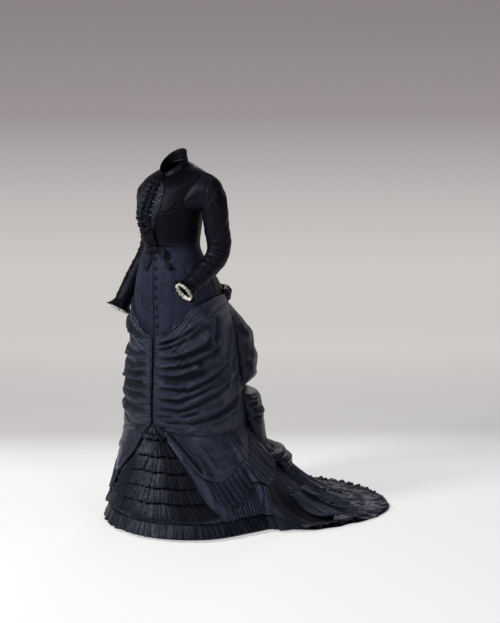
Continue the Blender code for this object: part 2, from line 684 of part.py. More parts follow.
# Tiers of ruffles in the front opening, from the top one down.
TIER_ENDS = (6.05, 6.20, 6.35, 6.50, 6.65, 6.80)
TIER_TOP = 5.80
TIER_PLEATS = (4, 6, 8, 9, 10, 11)
TIER_LEFT_ANGLE = {5.8: 3.5, 6.05: 14, 6.2: 21, 6.35: 27, 6.5: 31, 6.65: 35, 6.8: 42}
TIER_RIGHT_ANGLE = {5.8: 2.0, 6.05: 9, 6.2: 16, 6.35: 26, 6.5: 34, 6.65: 41, 6.8: 50}
TIER_OVER, TIER_FLARE, TIER_DEPTH = 0.0032, 0.013, 0.006


def build_tiers(silk_blue, over_skirt):
    start = TIER_TOP
    for k, (end, pleats) in enumerate(zip(TIER_ENDS, TIER_PLEATS)):
        count = 3 * pleats
        rows = []
        for down in (0.0, 1.0):
            line = []
            station = start + (end - start) * down
            right, left = -straight(TIER_RIGHT_ANGLE, station), straight(TIER_LEFT_ANGLE, station)
            for i in range(count + 1):
                angle = right + (left - right) * i / count
                raised = TIER_DEPTH * (0.3 + 0.7 * down) * PLEAT_SHAPE[i % 3]
                over = TIER_OVER + TIER_FLARE if down else FRILL_WALL + SEWN_ON_SKIRT
                line.append(over_skirt(angle, station, over + raised))
            rows.append(line)
        shell(f"front_tier_{k + 1}", rows, silk_blue, FRILL_WALL)
        start = end - 0.02


HEM_PLEATS, HEM_TOP, HEM_DEPTH, HEM_FLARE = 44, 6.845, 0.008, 0.013
HEM_HALF_ANGLE = 109


def build_hem_flounce(silk_blue, over_skirt):
    count = 2 * HEM_PLEATS
    rows = []
    for down in (0.0, 0.98):
        line = []
        for i in range(count + 1):
            angle = HEM_HALF_ANGLE * (2 * i / count - 1)
            station = HEM_TOP + (HEM - HEM_TOP) * down
            raised = HEM_DEPTH * (i % 2) * (0.35 + 0.65 * down)
            over = TIER_OVER + HEM_FLARE * down if down else FRILL_WALL + SEWN_ON_SKIRT
            line.append(over_skirt(angle, station, over + raised))
        rows.append(line)
    shell("hem_flounce", rows, silk_blue, FRILL_WALL)


# Poufs down the centre back: first and last station, first angle, fullness, number of lobes, the gap
# at the sewn top, and how full it is at each part of its height.
POUFS = {
    "pouf_upper": (2.70, 5.14, 114.6, 0.080, 3, 0.0014, (0, 0.20, 0.50, 0.82, 0.80, 0.98, 0.95, 0)),
    "pouf_middle": (5.22, 6.13, 114.6, 0.078, 4, 0.0006, (0, 0.60, 0.80, 0.90, 1.00, 1.04, 0.96, 0)),
    "pouf_lower": (6.16, 6.29, 115.2, 0.052, 5, 0.0009, (0, 0.62, 0.90, 1.00, 1.00, 0.90, 0.62, 0)),
}
POUF_ANGLES = (118, 126, 134, 142, 150, 159, 168, 178, 190, 204, 220, 235, 242)
POUF_OVER = 0.0045


def build_poufs(silk_blue, over_train):
    for name, (top, end, first, fullness, lobes, sewn, profile) in POUFS.items():
        angles = (first,) + POUF_ANGLES + (360 - first,)
        points = []
        for j, full in enumerate(profile):
            v = j / (len(profile) - 1)
            line = []
            for i, angle in enumerate(angles):
                u = (angle - 180) / (180 - first)
                swell = full * sqrt(max(1 - abs(u) ** 7, 0))
                lobe = 0.80 + 0.20 * sin(lobes * pi * (u + 1) / 2 + 2.2 * v)
                fold = 0.004 * (1 if (j + i) % 2 else -1) * swell
                over = POUF_OVER if j else WALL + sewn
                lift = over + fullness * swell * lobe + fold
                line.append(over_train(angle, top + (end - top) * v, lift))
            points.append(line)
        shell(name, points, silk_blue)


BACK_BOW_STATIONS, BACK_BOW_OVER = (2.10, 2.62), 0.0110
BACK_BOW_ANGLES = (118, 126, 134, 142, 150, 159, 168, 178, 190, 204, 220, 235, 242)


def build_back_bow(silk_dark, over_train):
    """A soft puffed band over the back of the bodice's edge."""
    points = []
    for j in range(6):
        v = j / 5
        line = []
        for k, angle in enumerate(BACK_BOW_ANGLES):
            swell = sin(pi * v) ** 0.7 * (0.65 + 0.35 * (k % 2)) * (0 < k < len(BACK_BOW_ANGLES) - 1)
            station = BACK_BOW_STATIONS[0] + (BACK_BOW_STATIONS[1] - BACK_BOW_STATIONS[0]) * v
            over = BACK_BOW_OVER if j else APRON_TOP_OVER
            line.append(over_train(angle, station, over + 0.026 * swell))
        points.append(line)
    shell("back_bow", points, silk_dark)


# The pleated piece's angles at its sewn top and at its end, and its first and last station.
TRAIN_PLEAT_TOP, TRAIN_PLEAT_END, TRAIN_PLEAT_STATIONS = (103.6, 109.6), (99.0, 106.4), (6.42, 6.82)
TRAIN_PLEATS, TRAIN_PLEAT_DEPTH, TRAIN_PLEAT_SEWN = 6, 0.008, 0.0007


def build_train_pleats(silk_blue, over_skirt):
    """A flat pleated piece on the train, beside the deep fold."""
    count = 3 * TRAIN_PLEATS
    rows = []
    for down in (0.0, 0.58, 1.0):
        line = []
        for i in range(count + 1):
            across = i / count
            high = TRAIN_PLEAT_TOP[0] + (TRAIN_PLEAT_TOP[1] - TRAIN_PLEAT_TOP[0]) * across
            low = TRAIN_PLEAT_END[0] + (TRAIN_PLEAT_END[1] - TRAIN_PLEAT_END[0]) * across
            angle = high + (low - high) * down
            station = TRAIN_PLEAT_STATIONS[0] * (1 - down) + TRAIN_PLEAT_STATIONS[1] * down
            raised = TRAIN_PLEAT_DEPTH * PLEAT_SHAPE[i % 3] * (0.4 + 0.6 * down)
            over = PANEL_OVER + 0.010 * down if down else WALL - TRAIN_PLEAT_SEWN
            line.append(over_skirt(angle, station, over + raised))
        rows.append(line)
    shell("train_pleats", rows, silk_blue)


# Ruffles across the train: first and last station, the number of waves, and the gap at the sewn top.
TRAIN_RUFFLES = {
    "train_ruffle_1": (6.40, 6.62, 10, 0.0017),
    "train_ruffle_2": (6.60, 6.82, 12, 0.0017),
    "train_ruffle_3": (6.80, 6.985, 16, 0.0010),
}
TRAIN_RUFFLE_ANGLES = (113, 205)
TRAIN_OVER, TRAIN_RUFFLE_RISE, TRAIN_RUFFLE_DEPTH = 0.0042, 0.008, 0.008


def build_train_ruffles(silk_blue, over_train):
    for name, (top, end, waves, sewn) in TRAIN_RUFFLES.items():
        count = 2 * waves
        rows = []
        for down in (0.0, 0.55, 1.0):
            line = []
            for i in range(count + 1):
                first, last = TRAIN_RUFFLE_ANGLES
                angle = first + (last - first) * i / count
                raised = TRAIN_RUFFLE_RISE * sqrt(down) + TRAIN_RUFFLE_DEPTH * (i % 2) * (0.15 + 0.85 * down)
                over = TRAIN_OVER if down else FRILL_WALL + sewn
                line.append(over_train(angle, top + (end - top) * down, over + raised))
            rows.append(line)
        shell(name, rows, silk_blue, FRILL_WALL)


def build():
    for item in list(bpy.data.objects):
        bpy.data.objects.remove(item, do_unlink=True)
    collection = bpy.data.collections.new(COLLECTION)
    bpy.context.scene.collection.children.link(collection)
    silk_blue = silk("silk", (0.020, 0.024, 0.048), 0.42)
    silk_dark = silk("silk_dark", (0.010, 0.011, 0.022), 0.50)
    lace = silk("lace", (0.72, 0.68, 0.60), 0.80)
    button = silk("button", (0.006, 0.007, 0.014), 0.30)
    front, train = build_skirt(silk_blue)

    def over_skirt(angle, station, height):
        """A point over the skirt, front or back, at a height above its outer side."""
        spot = (angle + 110) % 360 - 110
        if spot <= 110:
            return front.lift(spot, station, height)
        return train.lift(spot, station, height)

    bodice = build_bodice(silk_blue, over_skirt)
    build_collar(silk_blue)
    wrists = build_sleeves(silk_dark, bodice)
    build_cuffs(silk_dark, lace, wrists)
    build_front_trimmings(silk_blue, silk_dark, bodice)
    build_buttons(button, bodice)
    build_bow(silk_blue, bodice)
    build_apron(silk_blue, over_skirt)
    build_lower_panels(silk_blue, over_skirt)
    build_tiers(silk_blue, over_skirt)
    build_hem_flounce(silk_blue, over_skirt)
    build_poufs(silk_blue, over_skirt)
    build_back_bow(silk_dark, over_skirt)
    build_train_pleats(silk_blue, over_skirt)
    build_train_ruffles(silk_blue, over_skirt)


build()
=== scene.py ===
"""Bustle dress of dark blue silk: finished cloth, trimmings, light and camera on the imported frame.

Metres, in the frame's axes: +Z up, the front faces -Y, the wearer's left is +X. Heights in the tables are
above the floor; SHOULDER_HEIGHT takes them to the frame's origin. An angle goes round the figure in
degrees from the centre front. A station goes down the skirt: 0 the waist, 6 the calf, 7 the hem. A row
goes down the bodice: 0 the neck, 8 the waist, 14 the lower edge.
"""

import bmesh
import bpy
import numpy as np
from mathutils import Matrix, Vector


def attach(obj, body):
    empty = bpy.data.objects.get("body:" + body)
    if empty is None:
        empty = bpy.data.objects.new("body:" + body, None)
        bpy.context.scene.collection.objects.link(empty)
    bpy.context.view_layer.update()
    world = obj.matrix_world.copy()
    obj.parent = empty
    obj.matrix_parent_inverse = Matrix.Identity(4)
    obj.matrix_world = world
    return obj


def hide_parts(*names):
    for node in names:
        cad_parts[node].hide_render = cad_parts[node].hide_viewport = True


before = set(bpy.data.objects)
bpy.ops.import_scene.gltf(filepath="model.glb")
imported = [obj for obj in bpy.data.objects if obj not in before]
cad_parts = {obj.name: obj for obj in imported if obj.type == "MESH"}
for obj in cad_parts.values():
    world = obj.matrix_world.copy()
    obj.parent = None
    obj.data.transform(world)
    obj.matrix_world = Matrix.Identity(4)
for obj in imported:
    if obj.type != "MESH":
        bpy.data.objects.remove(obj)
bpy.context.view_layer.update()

SHOULDER_HEIGHT = 1.36
WALL = 0.0012
FRILL_WALL = 0.0008
LEFT, RIGHT = 1, -1
SIDES = {"left": LEFT, "right": RIGHT}

# Each row: height at the front and back, half width, depth to the front and back, the middle, the turn.
TORSO = (
    (1.374, 1.436, 0.060, 0.058, 0.056, -0.002, -0.022, -12),
    (1.358, 1.424, 0.096, 0.080, 0.078, -0.002, -0.024, -12),
    (1.332, 1.404, 0.139, 0.104, 0.098, -0.002, -0.024, -12),
    (1.278, 1.330, 0.146, 0.132, 0.108, -0.003, -0.026, -12),
    (1.225, 1.250, 0.138, 0.148, 0.108, -0.004, -0.029, -11),
    (1.170, 1.180, 0.126, 0.129, 0.100, -0.002, -0.032, -10),
    (1.108, 1.112, 0.1145, 0.1045, 0.0965, 0.0, -0.034, -8),
)
SKIRT = (
    (1.095, 1.095, 0.109, 0.099, 0.091, 0.0, -0.034, -8),
    (1.030, 1.030, 0.137, 0.117, 0.128, 0.0, -0.030, -5),
    (0.940, 0.940, 0.162, 0.137, 0.205, 0.0, -0.020, -2),
    (0.830, 0.830, 0.178, 0.152, 0.270, 0.0, -0.008, 0),
    (0.690, 0.690, 0.190, 0.164, 0.325, 0.0, 0.0, 0),
    (0.540, 0.540, 0.202, 0.172, 0.352, 0.0, 0.0, 0),
    (0.380, 0.380, 0.226, 0.192, 0.372, 0.004, 0.006, 1),
)
CALF, HEM = 6, 7
TRAIN_STARTS, TRAIN_FULL, TRAIN_HOLLOW = 0.40, 0.25, 1.4
HEM_MIDDLE, HEM_TURN, HEM_HEIGHT = (0.04, 0.10), 6, 0.003
HEM_REACH = {
    0: 0.392, 30: 0.380, 60: 0.352, 74: 0.362, 82: 0.436, 88: 0.516, 95: 0.576, 101: 0.622, 106: 0.674,
    112: 0.724, 118: 0.764, 124: 0.784, 131: 0.787, 140: 0.778, 149: 0.756, 158: 0.722, 168: 0.676,
    179: 0.620, 194: 0.540, 214: 0.455, 243: 0.395, 270: 0.370, 300: 0.374, 330: 0.388, 360: 0.392,
}
# The deep fold where the train leaves the skirt: its angle, half width, depth and stations.
DEEP_FOLD = (97, 9.0, 0.045, 6.33, 6.98)


def smooth(t):
    t = np.clip(t, 0.0, 1.0)
    return t * t * (3 - 2 * t)


def along(table, x):
    """A smooth curve through a table's values, with no overshoot between them."""
    keys = np.array(list(table.keys()), float)
    values = np.array(list(table.values()), float)
    span = np.diff(keys)
    slope = np.diff(values) / span
    both = slope[:-1] * slope[1:]
    inner = np.where(both > 0, 2 * both / np.where(both > 0, slope[:-1] + slope[1:], 1), 0)
    ends = np.concatenate(([slope[0]], inner, [slope[-1]]))
    i = np.clip(np.searchsorted(keys, x, side="right") - 1, 0, len(span) - 1)
    t = np.clip((x - keys[i]) / span[i], 0, 1)
    low = (2 * t**3 - 3 * t**2 + 1) * values[i] + (t**3 - 2 * t**2 + t) * span[i] * ends[i]
    return low + (3 * t**2 - 2 * t**3) * values[i + 1] + (t**3 - t**2) * span[i] * ends[i + 1]


def turned(x, y, degrees):
    a = np.radians(degrees)
    return x * np.cos(a) - y * np.sin(a), x * np.sin(a) + y * np.cos(a)


def ring(rings, station, angle):
    """Points on the ring at a station, read between the rows of its table."""
    front_z, back_z, half, front, back, x, y, turn = (
        along(dict(enumerate(column)), station) for column in zip(*rings))
    a = np.radians(angle)
    depth = np.where(np.cos(a) > 0, front, back)
    dx, dy = turned(half * np.sin(a), -depth * np.cos(a), turn)
    z = front_z + (back_z - front_z) * (1 - np.cos(a)) / 2
    return np.stack((x + dx, y + dy, z), axis=-1)


def skirt(angle, station):
    """The foundation skirt, out to the hem and the train."""
    angle, station = np.broadcast_arrays(np.asarray(angle, float), np.asarray(station, float))
    upper = ring(SKIRT, np.minimum(station, CALF), angle)
    reach = along(HEM_REACH, angle % 360)
    x, y = turned(np.sin(np.radians(angle)), -np.cos(np.radians(angle)), HEM_TURN)
    down = np.clip((station - CALF) / (HEM - CALF), 0, 1)
    train = np.clip((reach - TRAIN_STARTS) / TRAIN_FULL, 0, 1)
    out = (down ** (0.78 + 0.22 * train))[..., None]
    hem = np.stack((HEM_MIDDLE[0] + reach * x, HEM_MIDDLE[1] + reach * y, 0 * x + HEM_HEIGHT), axis=-1)
    points = upper * (1 - out) + hem * out
    points[..., 2] = HEM_HEIGHT + (upper[..., 2] - HEM_HEIGHT) * (1 - down) ** (1 + TRAIN_HOLLOW * train)
    middle, half, depth, top, end = DEEP_FOLD
    near = smooth(1 - np.abs(angle - middle) / half)
    depth = depth * near * np.sin(np.pi * np.clip((station - top) / (end - top), 0, 1))
    flat = points[..., :2]
    points[..., :2] = flat * (1 - (depth / np.maximum(np.hypot(*np.moveaxis(flat, -1, 0)), 0.01))[..., None])
    return points


def normals(points):
    """Unit normals of a grid of points: outwards where its columns run towards the wearer's left."""
    down = np.gradient(points, axis=0)
    across = np.gradient(points, axis=1)
    n = np.cross(down, across)
    return n / np.maximum(np.linalg.norm(n, axis=-1, keepdims=True), 1e-9)


def raised(points, lift):
    return points + normals(points) * np.asarray(lift)[..., None]


def grid(first, last, across, top, end, down):
    """Angles and stations of a plain grid: across by down cells."""
    return np.meshgrid(np.linspace(first, last, across + 1), np.linspace(top, end, down + 1))


# Uneven waves, pleats and single folds.
def knots(count, seed, spread):
    widths = 1 + spread * np.random.default_rng(seed).uniform(-1, 1, count)
    return np.concatenate(([0], np.cumsum(widths))) / widths.sum()


def pinched(i, t):
    """The way from a wave's valley to its crest and back: sharp in the valley, round on the crest."""
    t = np.clip(t, 0, 1)
    return np.where(i % 2, 1 - np.sin(np.pi * (1 - t) / 2), np.sin(np.pi * t / 2))


def waves(x, count, seed, spread=0.4):
    """A wave with uneven crests, from -1 to 1, for x from 0 to 1."""
    at = knots(2 * count, seed, spread)
    heights = np.where(np.arange(2 * count + 1) % 2, 1, -1)
    heights = heights * (1 - 0.55 * np.random.default_rng(seed + 1).uniform(0, 1, 2 * count + 1))
    i = np.clip(np.searchsorted(at, x, side="right") - 1, 0, 2 * count - 1)
    t = pinched(i, (x - at[i]) / (at[i + 1] - at[i]))
    return heights[i] * (1 - t) + heights[i + 1] * t


def fading_folds(x, y, count, seed, reach, lean=0.35):
    """Uneven folds across x, each fading out along y at a length of its own within reach."""
    rng = np.random.default_rng(seed)
    at = knots(2 * count, seed + 1, 0.45)
    heights = np.where(np.arange(2 * count + 1) % 2, 1, -1) * (1 - 0.5 * rng.uniform(0, 1, 2 * count + 1))
    lengths = reach[0] + (reach[1] - reach[0]) * rng.uniform(0, 1, 2 * count + 1)
    i = np.clip(np.searchsorted(at, x, side="right") - 1, 0, 2 * count - 1)
    t = pinched(i, np.clip((x - at[i]) / (at[i + 1] - at[i]), 0, 1) ** (1 + lean))
    low = heights[i] * smooth(1 - y / lengths[i])
    high = heights[i + 1] * smooth(1 - y / lengths[i + 1])
    return low * (1 - t) + high * t


PLEAT_PHASES = (0.0, 0.05, 0.11, 0.17, 0.40, 0.65, 0.86, 0.96)
PLEAT_HEIGHTS = (0.0, 0.55, 1.0, 0.97, 0.80, 0.60, 0.38, 0.10)


def pleats(count, seed, rows, spread, uneven=0.35, end=1.0):
    """A grid of shares across and down for knife pleats, each column's height, and its pleat's sway."""
    rng = np.random.default_rng(seed)
    at = knots(count, seed + 1, spread)
    columns, heights, sways = [], [], []
    for k in range(count):
        tall = 1 - uneven * rng.uniform(0, 1)
        sway = rng.uniform(-1, 1)
        for phase, height in zip(PLEAT_PHASES, PLEAT_HEIGHTS):
            columns.append(at[k] + (at[k + 1] - at[k]) * phase)
            heights.append(height * tall)
            sways.append(sway)
    share, down = np.meshgrid(columns + [1.0], np.linspace(0, end, rows))
    return share, down, np.array(heights + [0.0]), np.array(sways + [0.0])


def strokes(points, table, place):
    """Lifts for folds placed one by one. Each row: width, height, and the spots that the fold runs through."""
    flat = points.reshape(-1, 3)
    n = normals(points).reshape(-1, 3)
    total = np.zeros(len(flat))
    for width, height, *spots in table:
        marks = np.array(spots, float)
        fine = np.linspace(0, len(marks) - 1, 5 * (len(marks) - 1) + 1)
        line = place(*(np.interp(fine, range(len(marks)), marks[:, k]) for k in (0, 1)))
        line = line.reshape(-1, 3)
        low, high = line.min(0) - 4 * width, line.max(0) + 4 * width
        near = np.where(((flat > low) & (flat < high)).all(1))[0]
        if not len(near):
            continue
        best = np.full(len(near), 1e9)
        side, along_line = np.zeros(len(near)), np.zeros(len(near))
        for k, (a, b) in enumerate(zip(line, line[1:])):
            step = b - a
            t = np.clip((flat[near] - a) @ step / max(step @ step, 1e-12), 0, 1)
            gap = flat[near] - a - t[:, None] * step
            gap -= (gap * n[near]).sum(1)[:, None] * n[near]
            far = np.linalg.norm(gap, axis=1)
            closer = far < best
            best[closer] = far[closer]
            side[closer] = np.sign((np.cross(step, n[near][closer]) * gap[closer]).sum(1))
            along_line[closer] = (k + t[closer]) / (len(line) - 1)
        spread = width * (0.65 + 0.6 * along_line)
        signed = side * best
        crest = np.exp(-(np.abs(signed) / spread) ** 1.5)
        trough = np.exp(-(np.abs(signed - 1.7 * spread) / (0.9 * spread)) ** 1.7)
        ends = smooth(along_line / 0.14) * smooth((1 - along_line) / 0.22)
        total[near] += height * (crest - 0.5 * trough) * ends
    return total.reshape(points.shape[:2])


# Silk, lace and buttons. The groups put out heights, masks and colours alone.
def node_group(name, inputs, outputs):
    group = bpy.data.node_groups.new(name, "ShaderNodeTree")
    for label, kind, value in inputs:
        socket = group.interface.new_socket(name=label, in_out="INPUT", socket_type=kind)
        if value is not None:
            socket.default_value = value
    for label, kind in outputs:
        group.interface.new_socket(name=label, in_out="OUTPUT", socket_type=kind)
    return group, group.nodes.new("NodeGroupInput"), group.nodes.new("NodeGroupOutput")


def fill(tree, node, sockets):
    """Sets a node's sockets, each to a plain value or to another node's output."""
    for socket, value in sockets.items():
        if isinstance(value, bpy.types.NodeSocket):
            tree.links.new(value, node.inputs[socket])
        else:
            node.inputs[socket].default_value = value


def added(tree, kind, sockets, **settings):
    node = tree.nodes.new("ShaderNode" + kind)
    for setting, value in settings.items():
        setattr(node, setting, value)
    fill(tree, node, sockets)
    return node


def maths(tree, kind, *values):
    return added(tree, "Math", dict(enumerate(values)), operation=kind).outputs[0]


def mixed(tree, amount, first, second):
    """The colour at an amount from the first to the second."""
    return added(tree, "Mix", {0: amount, 6: first, 7: second}, data_type="RGBA").outputs[2]


def plain_material(name):
    material = bpy.data.materials.new(name)
    material.use_nodes = True
    tree = material.node_tree
    return material, tree, tree.nodes["Principled BSDF"]


def cloth_map(tree):
    return added(tree, "UVMap", {}, uv_map="UVMap").outputs[0]


THREAD = 0.0009
SLUB_SCALE = (26, 420, 1)


def weave_group():
    """Crosswise ribs and slubs of taffeta, on a UV map in metres."""
    group, given, put = node_group(
        "taffeta_weave", (("UV", "NodeSocketVector", None), ("Thread", "NodeSocketFloat", THREAD)),
        (("Height", "NodeSocketFloat"), ("Slub", "NodeSocketFloat")))
    split = added(group, "SeparateXYZ", {0: given.outputs["UV"]})
    ribs = []
    for axis, share in (("X", 1.0), ("Y", 0.62)):
        turns = maths(group, "DIVIDE", split.outputs[axis], given.outputs["Thread"])
        ribs.append(maths(group, "SINE", maths(group, "MULTIPLY", turns, 2 * np.pi * share)))
    stretch = added(group, "Mapping", {"Scale": SLUB_SCALE, "Vector": given.outputs["UV"]})
    slub = added(group, "TexNoise", {"Scale": 1.0, "Detail": 3, "Vector": stretch.outputs[0]})
    height = maths(group, "MULTIPLY_ADD", ribs[1], 0.6, ribs[0])
    fill(group, put, {"Height": height, "Slub": slub.outputs["Fac"]})
    return group


def crease_group():
    """Creases of folded silk: broad soft waves, and thin crisp ones drawn out along the cloth's folds."""
    group, given, put = node_group(
        "silk_creases", (("Point", "NodeSocketVector", None), ("Stretched", "NodeSocketVector", None),
                         ("Size", "NodeSocketFloat", 15.0)),
        (("Height", "NodeSocketFloat"), ("Mask", "NodeSocketFloat")))
    broad = added(group, "TexNoise", {
        "Detail": 3, "Vector": given.outputs["Point"], "Scale": given.outputs["Size"]})
    shift = added(group, "VectorMath", {
        0: broad.outputs["Color"], 1: (0.9, 0.9, 0.9), 2: given.outputs["Stretched"]},
        operation="MULTIPLY_ADD")
    thin = added(group, "TexNoise", {"Scale": 1.0, "Detail": 4, "Roughness": 0.6, "Vector": shift.outputs[0]})
    ridge = maths(group, "ABSOLUTE", maths(group, "SUBTRACT", thin.outputs["Fac"], 0.5))
    ridge = maths(group, "MINIMUM", maths(group, "MULTIPLY", ridge, 5.0), 1.0)
    for label, crisp, soft in (("Height", -0.42, 0.8), ("Mask", 0.22, 0.9)):
        wave = maths(group, "MULTIPLY", broad.outputs["Fac"], soft)
        fill(group, put, {label: maths(group, "MULTIPLY_ADD", ridge, crisp, wave)})
    return group


WEAVE = weave_group()
CREASES = crease_group()


def silk(name, dark, light, roughness, size, height, drawn=(9, 70), specular=0.42, sheen=0.03):
    """Silk taffeta: two close blues by patches and slubs, ribs, creases, and painted shade, darker and rougher by
    the shade attribute in its hollows.
    """
    material, tree, shader = plain_material(name)
    uv = cloth_map(tree)
    spot = added(tree, "TexCoord", {}).outputs["Object"]
    weave = added(tree, "Group", {"UV": uv}, node_tree=WEAVE)
    stretch = added(tree, "Mapping", {"Scale": (*drawn, 1), "Vector": uv}).outputs[0]
    crush = added(tree, "Group", {"Size": size, "Point": spot, "Stretched": stretch}, node_tree=CREASES)
    patch = maths(tree, "MULTIPLY_ADD", crush.outputs["Mask"], 1.8, -0.62)
    patch = maths(tree, "MULTIPLY_ADD", weave.outputs["Slub"], 0.35, patch)
    # The shade attribute is painted shade: it mixes the colour towards a near-black and roughens it, in hollows,
    # seams and recesses.
    painted_shade = added(tree, "Attribute", {}, attribute_name="shade").outputs["Fac"]
    deep = (*(0.12 * v for v in dark), 1)
    rough = maths(tree, "MULTIPLY_ADD", weave.outputs["Slub"], 0.14, roughness - 0.07)
    creased = added(tree, "Bump", {"Strength": 0.6, "Distance": height, "Height": crush.outputs["Height"]})
    woven = added(tree, "Bump", {
        "Strength": 0.25, "Distance": 0.00008, "Height": weave.outputs["Height"],
        "Normal": creased.outputs[0]})
    fill(tree, shader, {
        "Base Color": mixed(tree, painted_shade, mixed(tree, patch, (*dark, 1), (*light, 1)), deep),
        "Roughness": maths(tree, "MULTIPLY_ADD", painted_shade, 0.45, rough),
        "Normal": woven.outputs[0],
        "Sheen Weight": sheen, "Sheen Roughness": 0.30, "Sheen Tint": (0.34, 0.40, 0.72, 1),
        "Specular IOR Level": specular, "Specular Tint": (0.74, 0.80, 1.0, 1)})
    return material


# The bodice is darker above the waist, from one height to the other.
BODICE_DARK, BODICE_DARKENS = (0.0009, 0.0008, 0.0016, 1), (1.075, 1.140)


def bodice_silk():
    material = silk(
        "silk_bodice", (0.0080, 0.0092, 0.0180), (0.0190, 0.0225, 0.0420), 0.50, 13, 0.0034, (10, 50), 0.11, 0.02)
    tree = material.node_tree
    shader = tree.nodes["Principled BSDF"]
    colour = shader.inputs["Base Color"].links[0].from_socket
    low, high = (height - SHOULDER_HEIGHT for height in BODICE_DARKENS)
    split = added(tree, "SeparateXYZ", {0: added(tree, "TexCoord", {}).outputs["Object"]})
    waist = added(tree, "MapRange", {
        "From Min": low, "From Max": high, "Value": split.outputs["Z"]}, interpolation_type="SMOOTHSTEP")
    fill(tree, shader, {"Base Color": mixed(tree, waist.outputs[0], colour, BODICE_DARK)})
    return material


def lace_thread():
    """Ivory lace: a fine net that is open between its threads."""
    material, tree, shader = plain_material("lace_net")
    uv = cloth_map(tree)
    net = added(tree, "TexVoronoi", {"Scale": 420, "Vector": uv}, feature="DISTANCE_TO_EDGE")
    cells = net.outputs["Distance"]
    motif = added(tree, "TexNoise", {"Scale": 120, "Vector": uv}).outputs["Fac"]
    thread, solid = maths(tree, "LESS_THAN", cells, 0.20), maths(tree, "GREATER_THAN", motif, 0.50)
    fill(tree, shader, {
        "Base Color": mixed(tree, motif, (0.60, 0.56, 0.48, 1), (0.86, 0.83, 0.76, 1)),
        "Alpha": maths(tree, "MAXIMUM", thread, solid), "Roughness": 0.85,
        "Normal": added(tree, "Bump", {"Distance": 0.0005, "Height": cells}).outputs[0]})
    return material


# Each silk: its dark and light blue, roughness, the size and height of its creases, how they are drawn
# out across and along the cloth, its specular level and its sheen.
BLUE = silk("silk_blue", (0.0056, 0.0066, 0.0140), (0.0200, 0.0240, 0.0470), 0.33, 14, 0.0060)
GATHERED = silk(
    "silk_gathered", (0.0046, 0.0055, 0.0118), (0.0240, 0.0285, 0.0550), 0.30, 16, 0.0120, (15, 150))
PLEATED = silk("silk_pleated", (0.0050, 0.0060, 0.0125), (0.0200, 0.0240, 0.0470), 0.33, 18, 0.0045, (90, 9))
CRUSHED = silk("silk_crushed", (0.0048, 0.0058, 0.0122), (0.0175, 0.0208, 0.0410), 0.34, 30, 0.0075, (38, 44))
# A darker copy of the blue silk: painted shade for the poufs, which lie in shade at the back.
SHADED_PUFF_SILK = silk(
    "silk_puffed_shaded", (0.0030, 0.0034, 0.0070), (0.0085, 0.0098, 0.0190), 0.34, 20, 0.0070, (30, 40), 0.26)
DARK = silk(
    "silk_deep", (0.0012, 0.0011, 0.0022), (0.0036, 0.0036, 0.0068), 0.46, 16, 0.0035, (12, 60), 0.13, 0.01)
TIERED = silk(
    "silk_tiered", (0.0030, 0.0036, 0.0074), (0.0090, 0.0108, 0.0210), 0.36, 18, 0.0045, (90, 9), 0.24, 0.02)
SLEEVE_SILK = silk(
    "silk_sleeve", (0.0010, 0.0009, 0.0018), (0.0034, 0.0034, 0.0070), 0.46, 16, 0.0045, (14, 50), 0.13, 0.01)
PLASTRON_SILK = silk(
    "silk_shirred", (0.0030, 0.0036, 0.0074), (0.0120, 0.0140, 0.0270), 0.40, 30, 0.0035, (60, 30), 0.24)
BUTTON = silk(
    "button_cover", (0.0008, 0.0008, 0.0014), (0.0016, 0.0016, 0.0026), 0.40, 160, 0.0003, (9, 70), 0.16, 0)
BODICE_SILK = bodice_silk()
LACE = lace_thread()
FINISH = {"silk": BLUE, "silk_dark": DARK, "lace": LACE}


# Depths of hollows, painted as shade on the cloth through its shade attribute.
def hollows(lift, reach, depth):
    """How far each point lies below its neighbours' mean height, from 0 to 1 at that depth."""
    mean = lift
    for axis, steps in ((0, reach), (1, reach)):
        pad = [(steps, steps) if k == axis else (0, 0) for k in (0, 1)]
        sums = np.cumsum(np.pad(mean, pad, mode="edge"), axis=axis)
        sums = np.concatenate((np.take(sums, [0], axis) * 0, sums), axis=axis)
        n = mean.shape[axis]
        window = 2 * steps + 1
        mean = (np.take(sums, range(window, window + n), axis) - np.take(sums, range(n), axis)) / window
    return np.clip((mean - lift) / depth, 0, 1)


def lengths(points):
    """The longest row, the longest column and the area of a grid of points."""
    rows = np.linalg.norm(np.diff(points, axis=1), axis=2)
    columns = np.linalg.norm(np.diff(points, axis=0), axis=2)
    a = points[1:, :-1] - points[:-1, :-1]
    b = points[:-1, 1:] - points[:-1, :-1]
    c = points[1:, :-1] - points[1:, 1:]
    d = points[:-1, 1:] - points[1:, 1:]
    area = (np.linalg.norm(np.cross(a, b), axis=2) + np.linalg.norm(np.cross(c, d), axis=2)).sum() / 2
    return rows.sum(1).max(), columns.sum(0).max(), area


def piece_of(name, mesh, material, node):
    """Puts a finished mesh on the frame in place of its node."""
    mesh.materials.append(material)
    mesh.shade_smooth()
    piece = bpy.data.objects.new(name, mesh)
    bpy.context.scene.collection.objects.link(piece)
    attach(piece, "root")
    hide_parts(node)
    return piece


# The lowest height of any cloth, and the distance at which two points are merged.
FLOOR_CLEAR, MERGE = 0.0022, 0.00001


